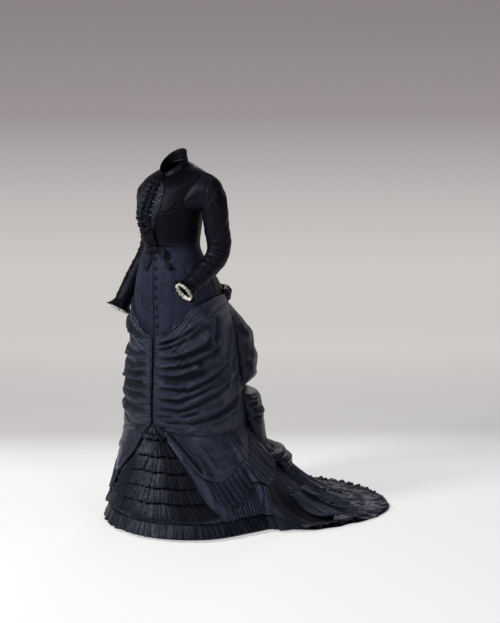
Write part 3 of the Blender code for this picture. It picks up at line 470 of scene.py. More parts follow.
def cloth(node, points, slot="silk", wall=WALL, material=None, tube=False,
          shade=None, name=None):
    """A piece of cloth: a grid bent to its points, with its wall on the inner side."""
    name = name or f"{node}_cloth"
    points = points.copy()
    points[..., 2] = np.maximum(points[..., 2], FLOOR_CLEAR)
    points = points - np.array((0, 0, SHOULDER_HEIGHT))
    down, across = points.shape[0] - 1, points.shape[1] - 1
    bm = bmesh.new()
    bmesh.ops.create_grid(bm, x_segments=across, y_segments=down, size=0.5)
    mesh = bpy.data.meshes.new(name)
    bm.to_mesh(mesh)
    flat = np.empty(3 * len(mesh.vertices), np.float32)
    mesh.vertices.foreach_get("co", flat)
    flat = flat.reshape(-1, 3)
    column = np.rint((flat[:, 0] + 0.5) * across).astype(int)
    row = np.rint((0.5 - flat[:, 1]) * down).astype(int)
    mesh.vertices.foreach_set("co", points[row, column].astype(np.float32).ravel())
    steps_u = np.linalg.norm(np.diff(points, axis=1), axis=2).mean(0)
    steps_v = np.linalg.norm(np.diff(points, axis=0), axis=2).mean(1)
    u = np.concatenate(([0], np.cumsum(steps_u)))[column]
    v = np.concatenate(([0], np.cumsum(steps_v)))[row]
    corner = np.empty(len(mesh.loops), np.int32)
    mesh.loops.foreach_get("vertex_index", corner)
    layer = mesh.uv_layers.new(name="UVMap")
    layer.data.foreach_set("uv", np.stack((u[corner], v[corner]), axis=-1).astype(np.float32).ravel())
    # The shade attribute carries painted shade, which the silk mixes into its colour.
    if shade is not None:
        dark = mesh.attributes.new("shade", "FLOAT", "POINT")
        dark.data.foreach_set("value", np.clip(shade, 0, 1)[row, column].astype(np.float32))
    bm.clear()
    bm.from_mesh(mesh)
    if tube:
        bmesh.ops.remove_doubles(bm, verts=bm.verts, dist=MERGE)
    bm.to_mesh(mesh)
    bm.free()
    piece = piece_of(name, mesh, material or FINISH[slot], node)
    solid = piece.modifiers.new("wall", "SOLIDIFY")
    solid.thickness = wall
    solid.offset = -1
    return piece


# Foundation skirt and train.
TRAIN_FOLDS = (
    (0.030, 0.024, (121, 6.08), (122, 6.32), (120, 6.52), (116, 6.74), (114, 6.90)),
    (0.020, -0.014, (114, 6.16), (113, 6.36), (111, 6.56)),
    (0.026, 0.018, (131, 6.10), (134, 6.34), (133, 6.56), (128, 6.80)),
    (0.016, -0.012, (127, 6.20), (128, 6.44), (125, 6.66)),
    (0.028, 0.016, (146, 6.12), (148, 6.40), (146, 6.66), (142, 6.88)),
    (0.016, 0.012, (139, 6.30), (141, 6.52), (138, 6.76)),
    (0.028, 0.018, (162, 6.10), (166, 6.38), (164, 6.70), (160, 6.92)),
    (0.018, -0.010, (155, 6.20), (157, 6.50), (154, 6.76)),
    (0.028, 0.018, (180, 6.10), (184, 6.42), (182, 6.72), (178, 6.94)),
    (0.020, 0.012, (196, 6.14), (200, 6.44), (200, 6.78)),
    (0.024, 0.015, (214, 6.10), (218, 6.40), (220, 6.74), (222, 6.94)),
    (0.020, 0.012, (232, 6.12), (235, 6.42), (238, 6.74)),
    (0.008, 0.010, (118, 6.50), (124, 6.56), (131, 6.55)),
    (0.007, 0.009, (117, 6.64), (123, 6.60), (130, 6.66), (136, 6.64)),
    (0.007, 0.008, (124, 6.70), (129, 6.76), (136, 6.75)),
    (0.006, -0.008, (121, 6.57), (127, 6.62), (133, 6.61)),
)


def build_skirt():
    fine = np.concatenate((np.linspace(0, 5.4, 10), np.linspace(5.5, 7, 34)))
    angle, station = np.meshgrid(np.linspace(-111.6, 111.6, 177), fine)
    base = skirt(angle, station)
    lift = 0.002 * waves((angle + 112) / 224, 30, 5) * smooth((station - 6) / 0.6)
    lift -= 0.0030 * smooth((np.abs(angle) - 109) / 1.2)
    # Painted shade: the deep fold where the train leaves the skirt, and the gap beneath the apron's centre seam.
    fold_shade = smooth((angle - 80) / 4) * smooth((106 - angle) / 5) * smooth((station - 6.1) / 0.2)
    seam = smooth((5 - np.abs(angle)) / 2) * smooth((station - 3.0) / 0.3) * smooth((6.1 - station) / 0.2)
    cloth("skirt_front", raised(base, lift), shade=fold_shade + seam)
    fine = np.concatenate((np.linspace(0, 5.8, 10), np.linspace(5.95, 7, 80)))
    angle, station = np.meshgrid(np.linspace(110, 250, 200), fine)
    base = skirt(angle, station)
    low = smooth((station - 6.0) / 0.25)
    lift = strokes(base, TRAIN_FOLDS, skirt)
    lift += 0.0035 * waves((angle - 110) / 140, 26, 9) * low * smooth((7.02 - station) / 0.3)
    across = (angle - 110) / 140
    lift += 0.0040 * fading_folds(across + 0.05 * np.sin(9 * station), HEM - station, 34, 11, (0.1, 0.7))
    lift = np.maximum(lift + 0.004 * low, 0.0) * smooth((7.0 - station) / 0.12)
    hem = smooth((station - 6.80) / 0.06) * smooth((136 - angle) / 6)
    lift += 0.0070 * (0.5 + 0.5 * waves((angle - 110) / 140, 60, 13)) * hem * smooth((7.01 - station) / 0.03)
    lift *= smooth((angle - 109.6) / 3) * smooth((250.4 - angle) / 3)
    # Painted shade in the hollows of the train's folds.
    cloth("skirt_train", raised(base, lift), material=CRUSHED, name="train_cloth",
          shade=hollows(lift, 6, 0.014))


# Bodice.
TORSO_ROWS = (0, 1, 2, 2.5, 3.05, 3.6, 4.1, 5, 6)
WAIST_ROW, LOWER_ROWS = 8, 6
BODICE_OVER = 0.0045
BODICE_EDGE = {0: 3.66, 16: 3.48, 26: 3.28, 38: 3.04, 50: 2.80, 62: 2.62, 86: 2.46, 119: 2.42, 180: 2.50}
ARMHOLE_FRONT = {0: 89.4, 2: 89.4, 3: 67, 4: 61, 5: 67, 6: 96.7, 14: 96.7}
ARMHOLE_BACK = {0: 90.6, 2: 90.6, 3: 113, 4: 118, 5: 112, 6: 97.3, 14: 97.3}


# Small shifts of the bodice: middle angle and half width, middle row and half height, and how far.
BODICE_SHIFTS = (
    (-50, 48, 4.0, 3.2, (0.010, 0.002, 0)),
    (96, 46, 2.2, 2.2, (0.012, 0.000, 0.020)),
)


def bodice(angle, row):
    """Points of the bodice: smooth through its whole rows, on the torso and then over the skirt."""
    angle, row = np.broadcast_arrays(np.asarray(angle, float), np.asarray(row, float))
    edge = along(BODICE_EDGE, np.abs(angle))

    def whole(k):
        k = np.clip(k, 0, WAIST_ROW + LOWER_ROWS)
        upper = ring(TORSO, np.interp(k, range(WAIST_ROW + 1), TORSO_ROWS), angle)
        station = edge * np.clip(k - WAIST_ROW, 0, LOWER_ROWS) / LOWER_ROWS
        lower = skirt(angle, station)
        out = lower[..., :2] - np.array((0.0, -0.02))
        out = out / np.linalg.norm(out, axis=-1, keepdims=True)
        lower[..., :2] += BODICE_OVER * out
        return np.where((k > WAIST_ROW)[..., None], lower, upper)

    k = np.floor(np.clip(row, 0, WAIST_ROW + LOWER_ROWS - 1e-6))
    t = (row - k)[..., None]
    a, b, c, d = whole(k - 1), whole(k), whole(k + 1), whole(k + 2)
    tangent_b, tangent_c = (c - a) / 2, (d - b) / 2
    points = (2 * t**3 - 3 * t**2 + 1) * b + (t**3 - 2 * t**2 + t) * tangent_b
    points = points + (3 * t**2 - 2 * t**3) * c + (t**3 - t**2) * tangent_c
    for middle, half, middle_row, half_row, move in BODICE_SHIFTS:
        share = smooth(1 - np.abs(angle - middle) / half) * smooth(1 - np.abs(row - middle_row) / half_row)
        points = points + share[..., None] * np.array(move)
    return points


BODICE_FOLDS = (
    (0.0045, 0.0030, (24, 5.2), (34, 5.0), (46, 4.8)),
    (0.0040, 0.0026, (26, 5.7), (38, 5.6), (50, 5.5)),
    (0.0050, 0.0032, (25, 6.2), (38, 6.3), (54, 6.5)),
    (0.0045, 0.0026, (28, 6.6), (44, 6.75), (66, 6.9)),
    (0.0045, 0.0024, (60, 4.3), (50, 4.1), (40, 4.2)),
    (0.0040, 0.0022, (66, 5.2), (54, 5.3), (42, 5.5)),
    (0.0060, -0.0024, (14, 1.4), (22, 2.1), (27, 3.0)),
    (0.0050, 0.0026, (70, 6.0), (62, 6.3), (52, 6.4)),
    (0.0040, 0.0020, (12, 8.4), (28, 8.3), (48, 8.2), (70, 8.3)),
    (0.0040, 0.0018, (16, 8.8), (32, 8.7), (52, 8.7)),
    (0.0045, 0.0024, (34, 9.3), (42, 9.1), (54, 9.0)),
    (0.0045, 0.0022, (20, 9.7), (27, 9.5), (34, 9.45)),
    (0.0060, 0.0020, (60, 10.4), (68, 11.4), (72, 12.6)),
    (0.0060, -0.0018, (52, 9.6), (56, 11.0), (58, 12.6)),
    (0.0050, 0.0022, (74, 12.8), (84, 12.7), (93, 12.9)),
    (0.0050, 0.0026, (66, 13.4), (80, 13.3), (94, 13.4)),
)
# Seams that are pressed flat, from the bust and the armhole down: angle by row.
SEAMS = ({3.4: 27, 5: 30, 8: 27, 11: 31, 14: 33}, {4.6: 62, 6: 57, 8: 52, 11: 58, 14: 60})


def mirrored(table, side):
    return [(w, h if side == LEFT else 0.85 * h, *[(side * a, s) for a, s in spots]) for w, h, *spots in table]


def build_bodice():
    for label, side in SIDES.items():
        for part in ("front", "back"):
            back = part == "back"
            row = np.linspace(0, WAIST_ROW + LOWER_ROWS, 113)[:, None]
            share = np.linspace(0, 1, 57)[None, :]
            inner = 179.7 if back else 0.5
            outer = along(ARMHOLE_BACK if back else ARMHOLE_FRONT, row)
            angle = inner + (outer - inner) * share
            angle = angle if side == LEFT else -angle
            if (side == RIGHT) != back:
                angle = angle[:, ::-1]
            row = np.broadcast_to(row, angle.shape)
            base = bodice(angle, row)
            lift = strokes(base, mirrored(BODICE_FOLDS, side), bodice) if not back else 0 * row
            flat = np.abs(angle)
            for seam in SEAMS:
                first = min(seam)
                place = 180 - 0.6 * along(seam, row) if back else along(seam, row)
                off = np.radians(flat - place) * 0.14
                depth = 0.0011 * smooth((row - first) / 0.6)
                lift = lift - depth * np.exp(-(off / 0.0016) ** 2)
            lift = lift + 0.0012 * waves(flat / 180 + 0.02 * row, 9, 3 + side) * smooth((row - 8.5) / 2)
            lift = lift + 0.0008 * np.exp(-((14 - row) / 0.10) ** 2)
            cloth(f"bodice_{part}_{label}", raised(base, lift),
                  material=DARK if back else BODICE_SILK)


def build_collar():
    angle, up = np.meshgrid(np.linspace(7, 353, 180), np.linspace(1, 0, 15))
    base = ring(TORSO, np.zeros_like(angle), angle)
    middle = ring(TORSO, np.zeros(2), np.array((0.0, 180.0))).mean(0)
    backness = (1 - np.cos(np.radians(angle))) / 2
    height = 0.010 + 0.034 * backness ** 0.6
    base[..., :2] += (middle[:2] - base[..., :2]) * (0.12 * up)[..., None]
    base[..., 2] += 0.0004 + up * height
    lift = 0.0014 * smooth((up - 0.80) / 0.2) + 0.0006 * waves(angle / 360, 14, 8) * (1 - up)
    cloth("collar", raised(base, lift), material=DARK)


# Sleeves. Top rings: the inner side's x and z, the middle's y, the turn down, the radii. Then plain rings.
SLEEVE_CAPS = {
    "left": ((0.147, 1.236, -0.030, 24, 0.065, 0.056), (0.148, 1.208, -0.026, 54, 0.055, 0.053),
             (0.148, 1.168, -0.018, 80, 0.048, 0.050)),
    "right": ((-0.142, 1.230, 0.016, 24, 0.054, 0.050), (-0.141, 1.208, 0.042, 54, 0.046, 0.048),
              (-0.140, 1.168, 0.062, 80, 0.043, 0.045)),
}
SLEEVE_RINGS = {
    "left": ((0.200, -0.010, 1.118, 0.047, 0.048), (0.199, -0.030, 1.066, 0.043, 0.044),
             (0.183, -0.092, 1.012, 0.038, 0.039), (0.160, -0.150, 0.966, 0.034, 0.035)),
    "right": ((-0.177, 0.068, 1.112, 0.042, 0.043), (-0.186, 0.048, 1.050, 0.040, 0.041),
              (-0.212, 0.004, 0.966, 0.038, 0.039), (-0.241, -0.044, 0.868, 0.034, 0.035)),
}
# Wrinkles of each sleeve: width, height, and spots of turn round the arm (0 outer, 0.25 back on the left)
# and place down it (0 armhole, 7 wrist).
SLEEVE_FOLDS = {
    "left": (
        (0.006, 0.0050, (0.92, 4.30), (0.80, 4.55), (0.66, 4.70)),
        (0.005, 0.0045, (0.96, 4.65), (0.82, 4.85), (0.66, 4.90)),
        (0.005, 0.0042, (0.95, 4.95), (0.80, 5.10), (0.62, 5.10)),
        (0.005, 0.0036, (0.90, 5.30), (0.76, 5.42), (0.60, 5.40)),
        (0.005, 0.0034, (0.94, 5.65), (0.80, 5.72), (0.66, 5.80)),
        (0.005, 0.0030, (0.10, 5.95), (0.94, 6.05), (0.78, 6.15)),
        (0.006, 0.0036, (0.90, 3.60), (0.78, 3.95), (0.68, 4.25)),
        (0.007, 0.0034, (0.02, 2.40), (0.92, 3.00), (0.82, 3.60)),
        (0.006, 0.0030, (0.14, 1.20), (0.05, 1.90), (0.96, 2.60)),
        (0.006, 0.0030, (0.80, 1.00), (0.86, 1.70), (0.90, 2.40)),
        (0.006, 0.0034, (0.30, 4.10), (0.22, 4.60), (0.10, 5.00)),
        (0.005, 0.0028, (0.36, 4.70), (0.26, 5.00), (0.14, 5.30)),
        (0.004, 0.0024, (0.10, 6.35), (0.96, 6.42), (0.80, 6.50)),
        (0.004, 0.0022, (0.06, 6.65), (0.90, 6.70), (0.74, 6.70)),
    ),
    "right": (
        (0.006, 0.0040, (0.10, 3.80), (0.24, 4.10), (0.38, 4.25)),
        (0.005, 0.0036, (0.06, 4.30), (0.22, 4.50), (0.38, 4.60)),
        (0.005, 0.0034, (0.02, 4.80), (0.18, 5.00), (0.34, 5.00)),
        (0.006, 0.0032, (0.30, 1.40), (0.20, 2.10), (0.10, 2.90)),
        (0.005, 0.0030, (0.98, 5.40), (0.14, 5.55), (0.30, 5.70)),
        (0.005, 0.0028, (0.04, 6.00), (0.20, 6.10), (0.36, 6.20)),
        (0.004, 0.0024, (0.90, 6.45), (0.06, 6.55), (0.24, 6.55)),
        (0.006, 0.0030, (0.86, 3.20), (0.94, 3.90), (0.06, 4.50)),
        (0.006, 0.0030, (0.70, 1.60), (0.80, 2.40), (0.90, 3.20)),
        (0.004, 0.0020, (0.90, 6.75), (0.06, 6.80), (0.22, 6.75)),
    ),
}
SLEEVE_SIDES = 60


def unit(v):
    return v / np.linalg.norm(v)


def arm_frame(side, down_arm):
    forwards = np.array((0.0, -1.0, 0.0))
    forwards = unit(forwards - forwards @ down_arm * down_arm)
    outwards = unit(np.cross(forwards, down_arm))
    return (outwards if outwards[0] * side > 0 else -outwards), forwards, down_arm


def arm_ring(side, centre, axes, across, fore, sides):
    a = np.linspace(0, 2 * np.pi, sides + 1)
    outwards, forwards, _ = axes
    across, fore = np.broadcast_to(across, a.shape), np.broadcast_to(fore, a.shape)
    return centre + (across * np.cos(a))[:, None] * outwards - (side * fore * np.sin(a))[:, None] * forwards


def armhole(side):
    """The armhole's loop on the bodice's edges, from the shoulder point down its back."""
    rows = np.linspace(2, 6, SLEEVE_SIDES // 2 + 1)
    front = bodice(side * along(ARMHOLE_FRONT, rows), rows)
    back = bodice(side * along(ARMHOLE_BACK, rows), rows)
    for end in (0, -1):
        front[end] = back[end] = (front[end] + back[end]) / 2
    first, second = (back, front) if side == LEFT else (front, back)
    loop = np.concatenate((first, second[-2::-1]))
    return loop + np.array((side * 0.0010, 0, 0))


def through(rings, rows):
    """Smooth rows through a stack of rings."""
    rings = np.array(rings)
    k = np.clip(np.floor(rows).astype(int), 0, len(rings) - 2)
    t = (rows - k)[:, None, None]
    last = len(rings) - 1
    b, c = rings[k], rings[k + 1]
    a, d = rings[np.maximum(k - 1, 0)], rings[np.minimum(k + 2, last)]
    start = (2 * t**3 - 3 * t**2 + 1) * b + (t**3 - 2 * t**2 + t) * (c - a) / 2
    return start + (3 * t**2 - 2 * t**3) * c + (t**3 - t**2) * (d - b) / 2


def build_sleeves():
    wrists = {}
    for label, side in SIDES.items():
        rings = [armhole(side)]
        for inner_x, inner_z, y, drop, across, fore in SLEEVE_CAPS[label]:
            a = np.radians(drop)
            axes = arm_frame(side, np.array((side * np.cos(a), 0, -np.sin(a))))
            centre = np.array((inner_x, y, inner_z)) + across * axes[0]
            rings.append(arm_ring(side, centre, axes, across, fore, SLEEVE_SIDES))
        centres = [centre] + [np.array(row[:3]) for row in SLEEVE_RINGS[label]]
        for k, row in enumerate(SLEEVE_RINGS[label]):
            ahead = centres[min(k + 2, len(centres) - 1)]
            axes = arm_frame(side, unit(ahead - centres[k]))
            rings.append(arm_ring(side, centres[k + 1], axes, row[3], row[4], SLEEVE_SIDES))
        rows = np.linspace(0, 7, 113)
        base = through(rings, rows)

        def spot(turn, row):
            spots = through(rings, np.atleast_1d(row))
            column = (np.atleast_1d(turn) % 1) * SLEEVE_SIDES
            return np.array([spots[k, int(round(c))] for k, c in enumerate(column)])

        table = []
        for width, height, *spots in SLEEVE_FOLDS[label]:
            turns = np.unwrap([s[0] * 2 * np.pi for s in spots]) / (2 * np.pi)
            table.append((width, height, *zip(turns, [s[1] for s in spots])))
        lift = strokes(base, table, spot)
        turn = np.linspace(0, 1, SLEEVE_SIDES + 1)[None, :]
        lift += 0.0010 * waves((turn + 0.35 * rows[:, None]) % 1, 5, 21 + side) * smooth(rows[:, None] / 1.5)
        lift[:, -1] = lift[:, 0]
        lift *= smooth(rows / 0.35)[:, None]
        points = raised(base, lift)
        if side == LEFT:
            top = (smooth(1 - rows / 2.6) * smooth(rows / 0.3))[:, None]
            top = top * smooth((points[..., 2] - 1.20) / 0.10)
            points += top[..., None] * np.array((0.008, 0, 0.012))
        points[:, -1] = points[:, 0]
        cloth(f"sleeve_{label}", points, slot="silk_dark",
              material=SLEEVE_SILK, tube=True)
        wrists[label] = centres[-1], axes, SLEEVE_RINGS[label][-1][3:]
    return wrists


# Ruffles at the wrist: finish, place in from the sleeve, length, flare, height and number of waves.
CUFFS = {
    "cuff_frill": ("silk_dark", 0.0, 0.035, 0.017, 0.0074, 11),
    "cuff_lace": ("lace", -0.0013, 0.041, 0.004, 0.0050, 13),
}
# The part of the lace's length that is painted dark: painted shade inside the cuff's opening.
LACE_SHADE_BAND = 0.027


def build_cuffs(wrists):
    """A dark ruffle at each wrist, and a lace ruffle inside it that shows below."""
    sides = 204
    for label, side in SIDES.items():
        centre, axes, (across, fore) = wrists[label]
        for kind, (slot, inset, length, flare, ripple, count) in CUFFS.items():
            turn = np.linspace(0, 1, sides + 1)
            wave = waves(turn, count, 31 + side + len(kind))
            wave[-1] = wave[0] = (wave[0] + wave[-2]) / 2
            points = []
            for down in np.linspace(0, 1, 15):
                scallop = 0.004 * np.abs(np.sin(np.pi * turn * 2 * count)) * smooth((down - 0.7) / 0.3)
                grow = inset + flare * down ** 1.3 + ripple * wave * down
                start = arm_ring(side, centre, axes, across + grow, fore + grow, sides)
                points.append(start + axes[2] * (0.0005 + down * length - scallop)[:, None])
            points = np.array(points)
            points[:, -1] = points[:, 0]
            ruffle = cloth(f"{kind}_{label}", points, slot=slot,
                           wall=FRILL_WALL, tube=True)
            if kind == "cuff_lace":
                # Painted shade: the lace's faces within that length take the dark silk.
                ruffle.data.materials.append(DARK)
                edge = axes[2] @ (centre - np.array((0, 0, SHOULDER_HEIGHT))) + LACE_SHADE_BAND
                for face in ruffle.data.polygons:
                    face.material_index = int(axes[2] @ np.array(face.center) < edge)


# Trimmings of the bodice's front, by row of the bodice.
PLASTRON_ROWS, FRILL_ROWS = (0.6, 6.9), (0.15, 7.9)
SASH_ANGLES, SASH_ROWS = (13, 96), (7.02, 7.96)
PLASTRON_EDGE = {0.6: 9, 1: 14, 2: 23, 3: 26, 4.4: 27, 5.4: 25, 6.2: 20, 6.9: 14}


def build_front_trimmings():
    for label, side in SIDES.items():
        share, row = np.meshgrid(np.linspace(0, 1, 51), np.linspace(*PLASTRON_ROWS, 121))
        edge = np.interp(row, list(PLASTRON_EDGE), list(PLASTRON_EDGE.values()))
        angle = 4 + (edge - 4) * (share if side == LEFT else 1 - share)
        base = bodice(side * angle, row)
        across = (angle - 4) / (edge - 4)
        lines = np.abs(np.sin(np.pi * (row - 0.6) / 0.62))
        gathers = waves(across + 0.03 * np.sin(2.3 * row), 13, 41 + side) * (0.35 + 0.65 * lines)
        puckers = waves((row - 0.6) / 6.3 + 0.02 * np.sin(9 * across), 17, 43 + side)
        lift = 0.0042 + 0.0016 * puckers * smooth(across / 0.2) + 0.0011 * gathers * lines
        lift -= 0.0030 * smooth((across - 0.90) / 0.10)
        # Painted shade in the hollows of the shirring.
        cloth(f"plastron_{label}", raised(base, lift),
              material=PLASTRON_SILK, shade=1.2 * hollows(lift, 3, 0.0022))
        share, row = np.meshgrid(np.linspace(-1, 1, 17), np.linspace(*FRILL_ROWS, 221))
        out = share if side == LEFT else -share
        wave, small = (waves((row - 0.15) / 7.75, count, seed + side) for count, seed in ((13, 47), (37, 49)))
        angle = 5.6 + 5.0 * out + (3.4 * wave + 1.2 * small) * np.abs(out) ** 2 * (out > 0) + wave * (out < 0)
        base = bodice(side * angle, row)
        lift = 0.0062 + 0.0060 * np.abs(out) ** 1.6 + (0.0066 * wave + 0.0024 * small) * np.abs(out) ** 1.3
        cloth(f"front_frill_{label}", raised(base, lift), slot="silk_dark",
              wall=FRILL_WALL)
        angle, row = grid(*SASH_ANGLES, 66, *SASH_ROWS, 44)
        angle = side * (angle if side == LEFT else angle[:, ::-1])
        base = bodice(angle, row)
        t = (row - 7.02) / 0.94
        ends = np.sin(np.pi * np.clip(t, 0, 1)) ** 0.5
        out = np.abs(angle)
        across = t + 0.03 * np.sin(np.radians(4 * out))
        folds = fading_folds(across, out - SASH_ANGLES[0], 7, 57 + side, (30, 95))
        lift = 0.0021 + (0.0010 + 0.0034 * folds * (0.5 + 0.5 * smooth((70 - out) / 50))) * ends
        lift = np.maximum(lift, 0.0009)
        # Painted shade in the hollows of the sash's folds.
        cloth(f"waist_sash_{label}", raised(base, lift),
              material=BODICE_SILK, shade=1.3 * hollows(lift, 3, 0.003))


BUTTON_COUNT, BUTTON_TOP, BUTTON_SPACING, BUTTON_ANGLE = 8, 1.061, 0.0368, 4.2
BUTTON_PROFILE = (
    (0.0, 0.0044), (0.0032, 0.0041), (0.0054, 0.0031), (0.0066, 0.0016), (0.0068, 0.0004), (0.0, 0.0))


def spot_on_front(angle, height):
    """The point and outward direction of the bodice's front at an angle and a height above the floor."""
    rows = np.linspace(7.5, 14, 400)
    points = bodice(np.full_like(rows, angle), rows)
    row = rows[np.abs(points[:, 2] - height).argmin()]
    patch_angle, patch_row = np.meshgrid((angle - 1, angle, angle + 1), (row - 0.1, row, row + 0.1))
    patch = bodice(patch_angle, patch_row)
    return patch[1, 1], normals(patch)[1, 1]


def build_buttons():
    """Covered buttons: a domed top over a flat back."""
    for k in range(BUTTON_COUNT):
        place, normal = spot_on_front(BUTTON_ANGLE, BUTTON_TOP - k * BUTTON_SPACING)
        bm = bmesh.new()
        ring_of = [bm.verts.new((x, 0, z)) for x, z in BUTTON_PROFILE]
        edges = [bm.edges.new(pair) for pair in zip(ring_of, ring_of[1:])]
        bmesh.ops.spin(bm, geom=ring_of + edges, cent=(0, 0, 0), axis=(0, 0, 1), angle=2 * np.pi, steps=28,
                       use_merge=True)
        bmesh.ops.remove_doubles(bm, verts=bm.verts, dist=MERGE)
        bmesh.ops.recalc_face_normals(bm, faces=bm.faces)
        spin = Vector((0, 0, 1)).rotation_difference(Vector(normal)).to_matrix()
        bmesh.ops.rotate(bm, cent=(0, 0, 0), matrix=spin, verts=bm.verts)
        spot = Vector(place) + 0.0012 * Vector(normal) - Vector((0, 0, SHOULDER_HEIGHT))
        bmesh.ops.translate(bm, vec=spot, verts=bm.verts)
        mesh = bpy.data.meshes.new(f"button_{k + 1}_covered")
        bm.to_mesh(mesh)
        bm.free()
        mesh.uv_layers.new(name="UVMap")
        piece_of(f"button_{k + 1}_covered", mesh, BUTTON, f"button_{k + 1}")


BOW_ANGLE, BOW_HEIGHT, BOW_LIFT = 5, 1.098, 0.0080
KNOT_HALF = 0.010
TAILS = {"left": (0.046, 0.050, 0.011), "right": (0.030, 0.060, 0.009)}
LOOP_LENGTHS, LOOP_DROPS = {"left": 0.044, "right": 0.030}, {"left": 0.016, "right": 0.004}


def build_bow():
    """The waist bow: a folded knot, two loops with a crease down each, and two notched tails."""
    place, normal = spot_on_front(BOW_ANGLE, BOW_HEIGHT)
    centre = place + BOW_LIFT * normal
    across = unit(np.cross(normal, (0, 0, 1.0)))
    across = across if across[0] > 0 else -across
    up = unit(np.cross(normal, across))
    up = up if up[2] > 0 else -up
    turn, down = np.meshgrid(np.linspace(0, 2 * np.pi, 49), np.linspace(-1, 1, 25))
    round_it = np.sqrt(np.maximum(1 - down**2, 0.0)) ** 0.7
    fold = 1 + 0.10 * np.sin(5 * turn + 1.0) * (1 - down**2)
    knot = (centre + (KNOT_HALF * round_it * fold * np.cos(turn))[..., None] * across
            - (0.0068 * round_it * fold * np.sin(turn))[..., None] * normal
            - (0.013 * down)[..., None] * up)
    cloth("bow_knot", knot, wall=FRILL_WALL, material=DARK, tube=True)
    for label, side in SIDES.items():
        root = centre + side * (KNOT_HALF + 0.001) * across
        turn, rise = np.meshgrid(np.linspace(0, 2 * np.pi, 61), np.linspace(1, -1, 21))
        out = (1 - np.cos(turn)) / 2
        thick = 0.0035 + 0.0060 * out
        half = (0.006 + 0.011 * out ** 0.7) * (1 + 0.10 * np.sin(3 * turn))
        crease = 0.0016 * np.cos(2.5 * np.pi * rise) * np.sin(turn) ** 2
        loop = (root + (side * LOOP_LENGTHS[label] * out * (1 - 0.10 * rise**2))[..., None] * across
                - (((thick + crease) * np.sin(turn) * side - 0.006 * out**2))[..., None] * normal
                + (rise * half - LOOP_DROPS[label] * out)[..., None] * up)
        cloth(f"bow_loop_{label}", loop, wall=FRILL_WALL,
              material=DARK, tube=True)
        reach, drop, wide = TAILS[label]
        spots = []
        for t in np.linspace(0, 1, 25):
            line = []
            for i in np.linspace(-1, 1, 13):
                notch = 0.014 * abs(i) * smooth((t - 0.72) / 0.28)
                x = side * (KNOT_HALF + reach * t) + i * wide * (0.45 + 0.55 * t)
                angle = BOW_ANGLE + np.degrees(x / 0.115)
                spot, out_of = spot_on_front(angle, BOW_HEIGHT - 0.016 - drop * t - notch * t)
                ripple = 0.004 * t * (1 - abs(i)) * (1 + 0.3 * np.sin(9 * t))
                line.append(spot + out_of * (0.0016 + 0.0080 * t + ripple))
            spots.append(line)
        cloth(f"bow_tail_{label}", np.array(spots), wall=FRILL_WALL,
              material=DARK)


# Apron.
APRON_CENTRE, APRON_SIDE, APRON_SAG = (3.36, 5.70), (2.34, 5.86), 0.22
APRON_OVER, APRON_TOP_OVER = 0.0100, 0.0064
APRON_FOLDS = {
    "left": (
        (0.010, 0.012, (4, 3.66), (30, 3.45), (54, 3.06), (82, 2.68)),
        (0.009, 0.010, (3, 3.80), (24, 3.68), (44, 3.42), (62, 3.10), (84, 2.90)),
        (0.011, 0.013, (3, 4.05), (34, 3.92), (62, 3.62), (80, 3.20)),
        (0.010, 0.013, (4, 4.32), (42, 4.14), (76, 3.82), (92, 3.48)),
        (0.015, 0.016, (6, 4.46), (30, 4.46), (46, 4.34), (60, 4.16)),
        (0.013, -0.016, (12, 4.62), (30, 4.62), (42, 4.52), (54, 4.36)),
        (0.011, 0.012, (6, 4.78), (42, 4.78), (74, 4.44), (104, 4.10)),
        (0.010, 0.010, (4, 5.04), (30, 5.08), (54, 4.86), (80, 4.60)),
        (0.013, 0.013, (4, 5.24), (34, 5.30), (58, 5.02), (92, 4.75), (110, 4.42)),
        (0.009, 0.009, (4, 5.46), (30, 5.48), (56, 5.30)),
        (0.012, 0.010, (6, 5.60), (40, 5.58), (66, 5.45), (98, 5.22)),
        (0.009, 0.008, (60, 5.70), (84, 5.58), (108, 5.40)),
        (0.009, -0.010, (88, 2.95), (85, 3.35), (81, 3.80)),
        (0.008, 0.009, (92, 2.90), (90, 3.40), (86, 3.95), (78, 4.30)),
        (0.010, 0.006, (112, 3.35), (104, 3.90), (98, 4.45)),
        (0.010, 0.006, (112, 4.10), (104, 4.60), (92, 5.10)),
        (0.009, 0.009, (113, 4.72), (109, 4.92), (112, 5.14)),
        (0.008, -0.008, (107, 4.78), (104, 5.00), (108, 5.22)),
        (0.010, 0.006, (110, 5.24), (100, 5.46), (84, 5.70)),
    ),
    "right": (
        (0.010, 0.012, (-4, 3.66), (-24, 3.56), (-60, 3.30), (-84, 2.90)),
        (0.010, 0.012, (-3, 4.00), (-20, 4.12), (-60, 4.10), (-90, 3.70)),
        (0.011, 0.012, (-3, 4.30), (-22, 4.45), (-56, 4.46), (-92, 4.10)),
        (0.012, 0.014, (-4, 4.60), (-26, 4.66), (-60, 4.68), (-90, 4.40)),
        (0.011, -0.012, (-10, 4.76), (-28, 4.78), (-60, 4.80)),
        (0.011, 0.012, (-4, 4.94), (-18, 4.96), (-58, 4.92), (-88, 4.70)),
        (0.011, 0.011, (-4, 5.22), (-16, 5.22), (-50, 5.14), (-84, 4.95)),
        (0.012, 0.011, (-4, 5.52), (-18, 5.56), (-48, 5.48), (-80, 5.30)),
        (0.010, 0.008, (-60, 5.62), (-84, 5.52), (-108, 5.36)),
        (0.008, 0.009, (-92, 2.90), (-90, 3.40), (-86, 3.95)),
        (0.010, 0.006, (-112, 3.40), (-104, 3.95), (-98, 4.50)),
        (0.009, 0.008, (-113, 4.72), (-109, 4.95), (-112, 5.14)),
    ),
}


# Steps of each half's grid, across and down.
APRON_GRID = {"left": (150, 180), "right": (120, 100)}
APRON_EDGES = (0.6, 114)


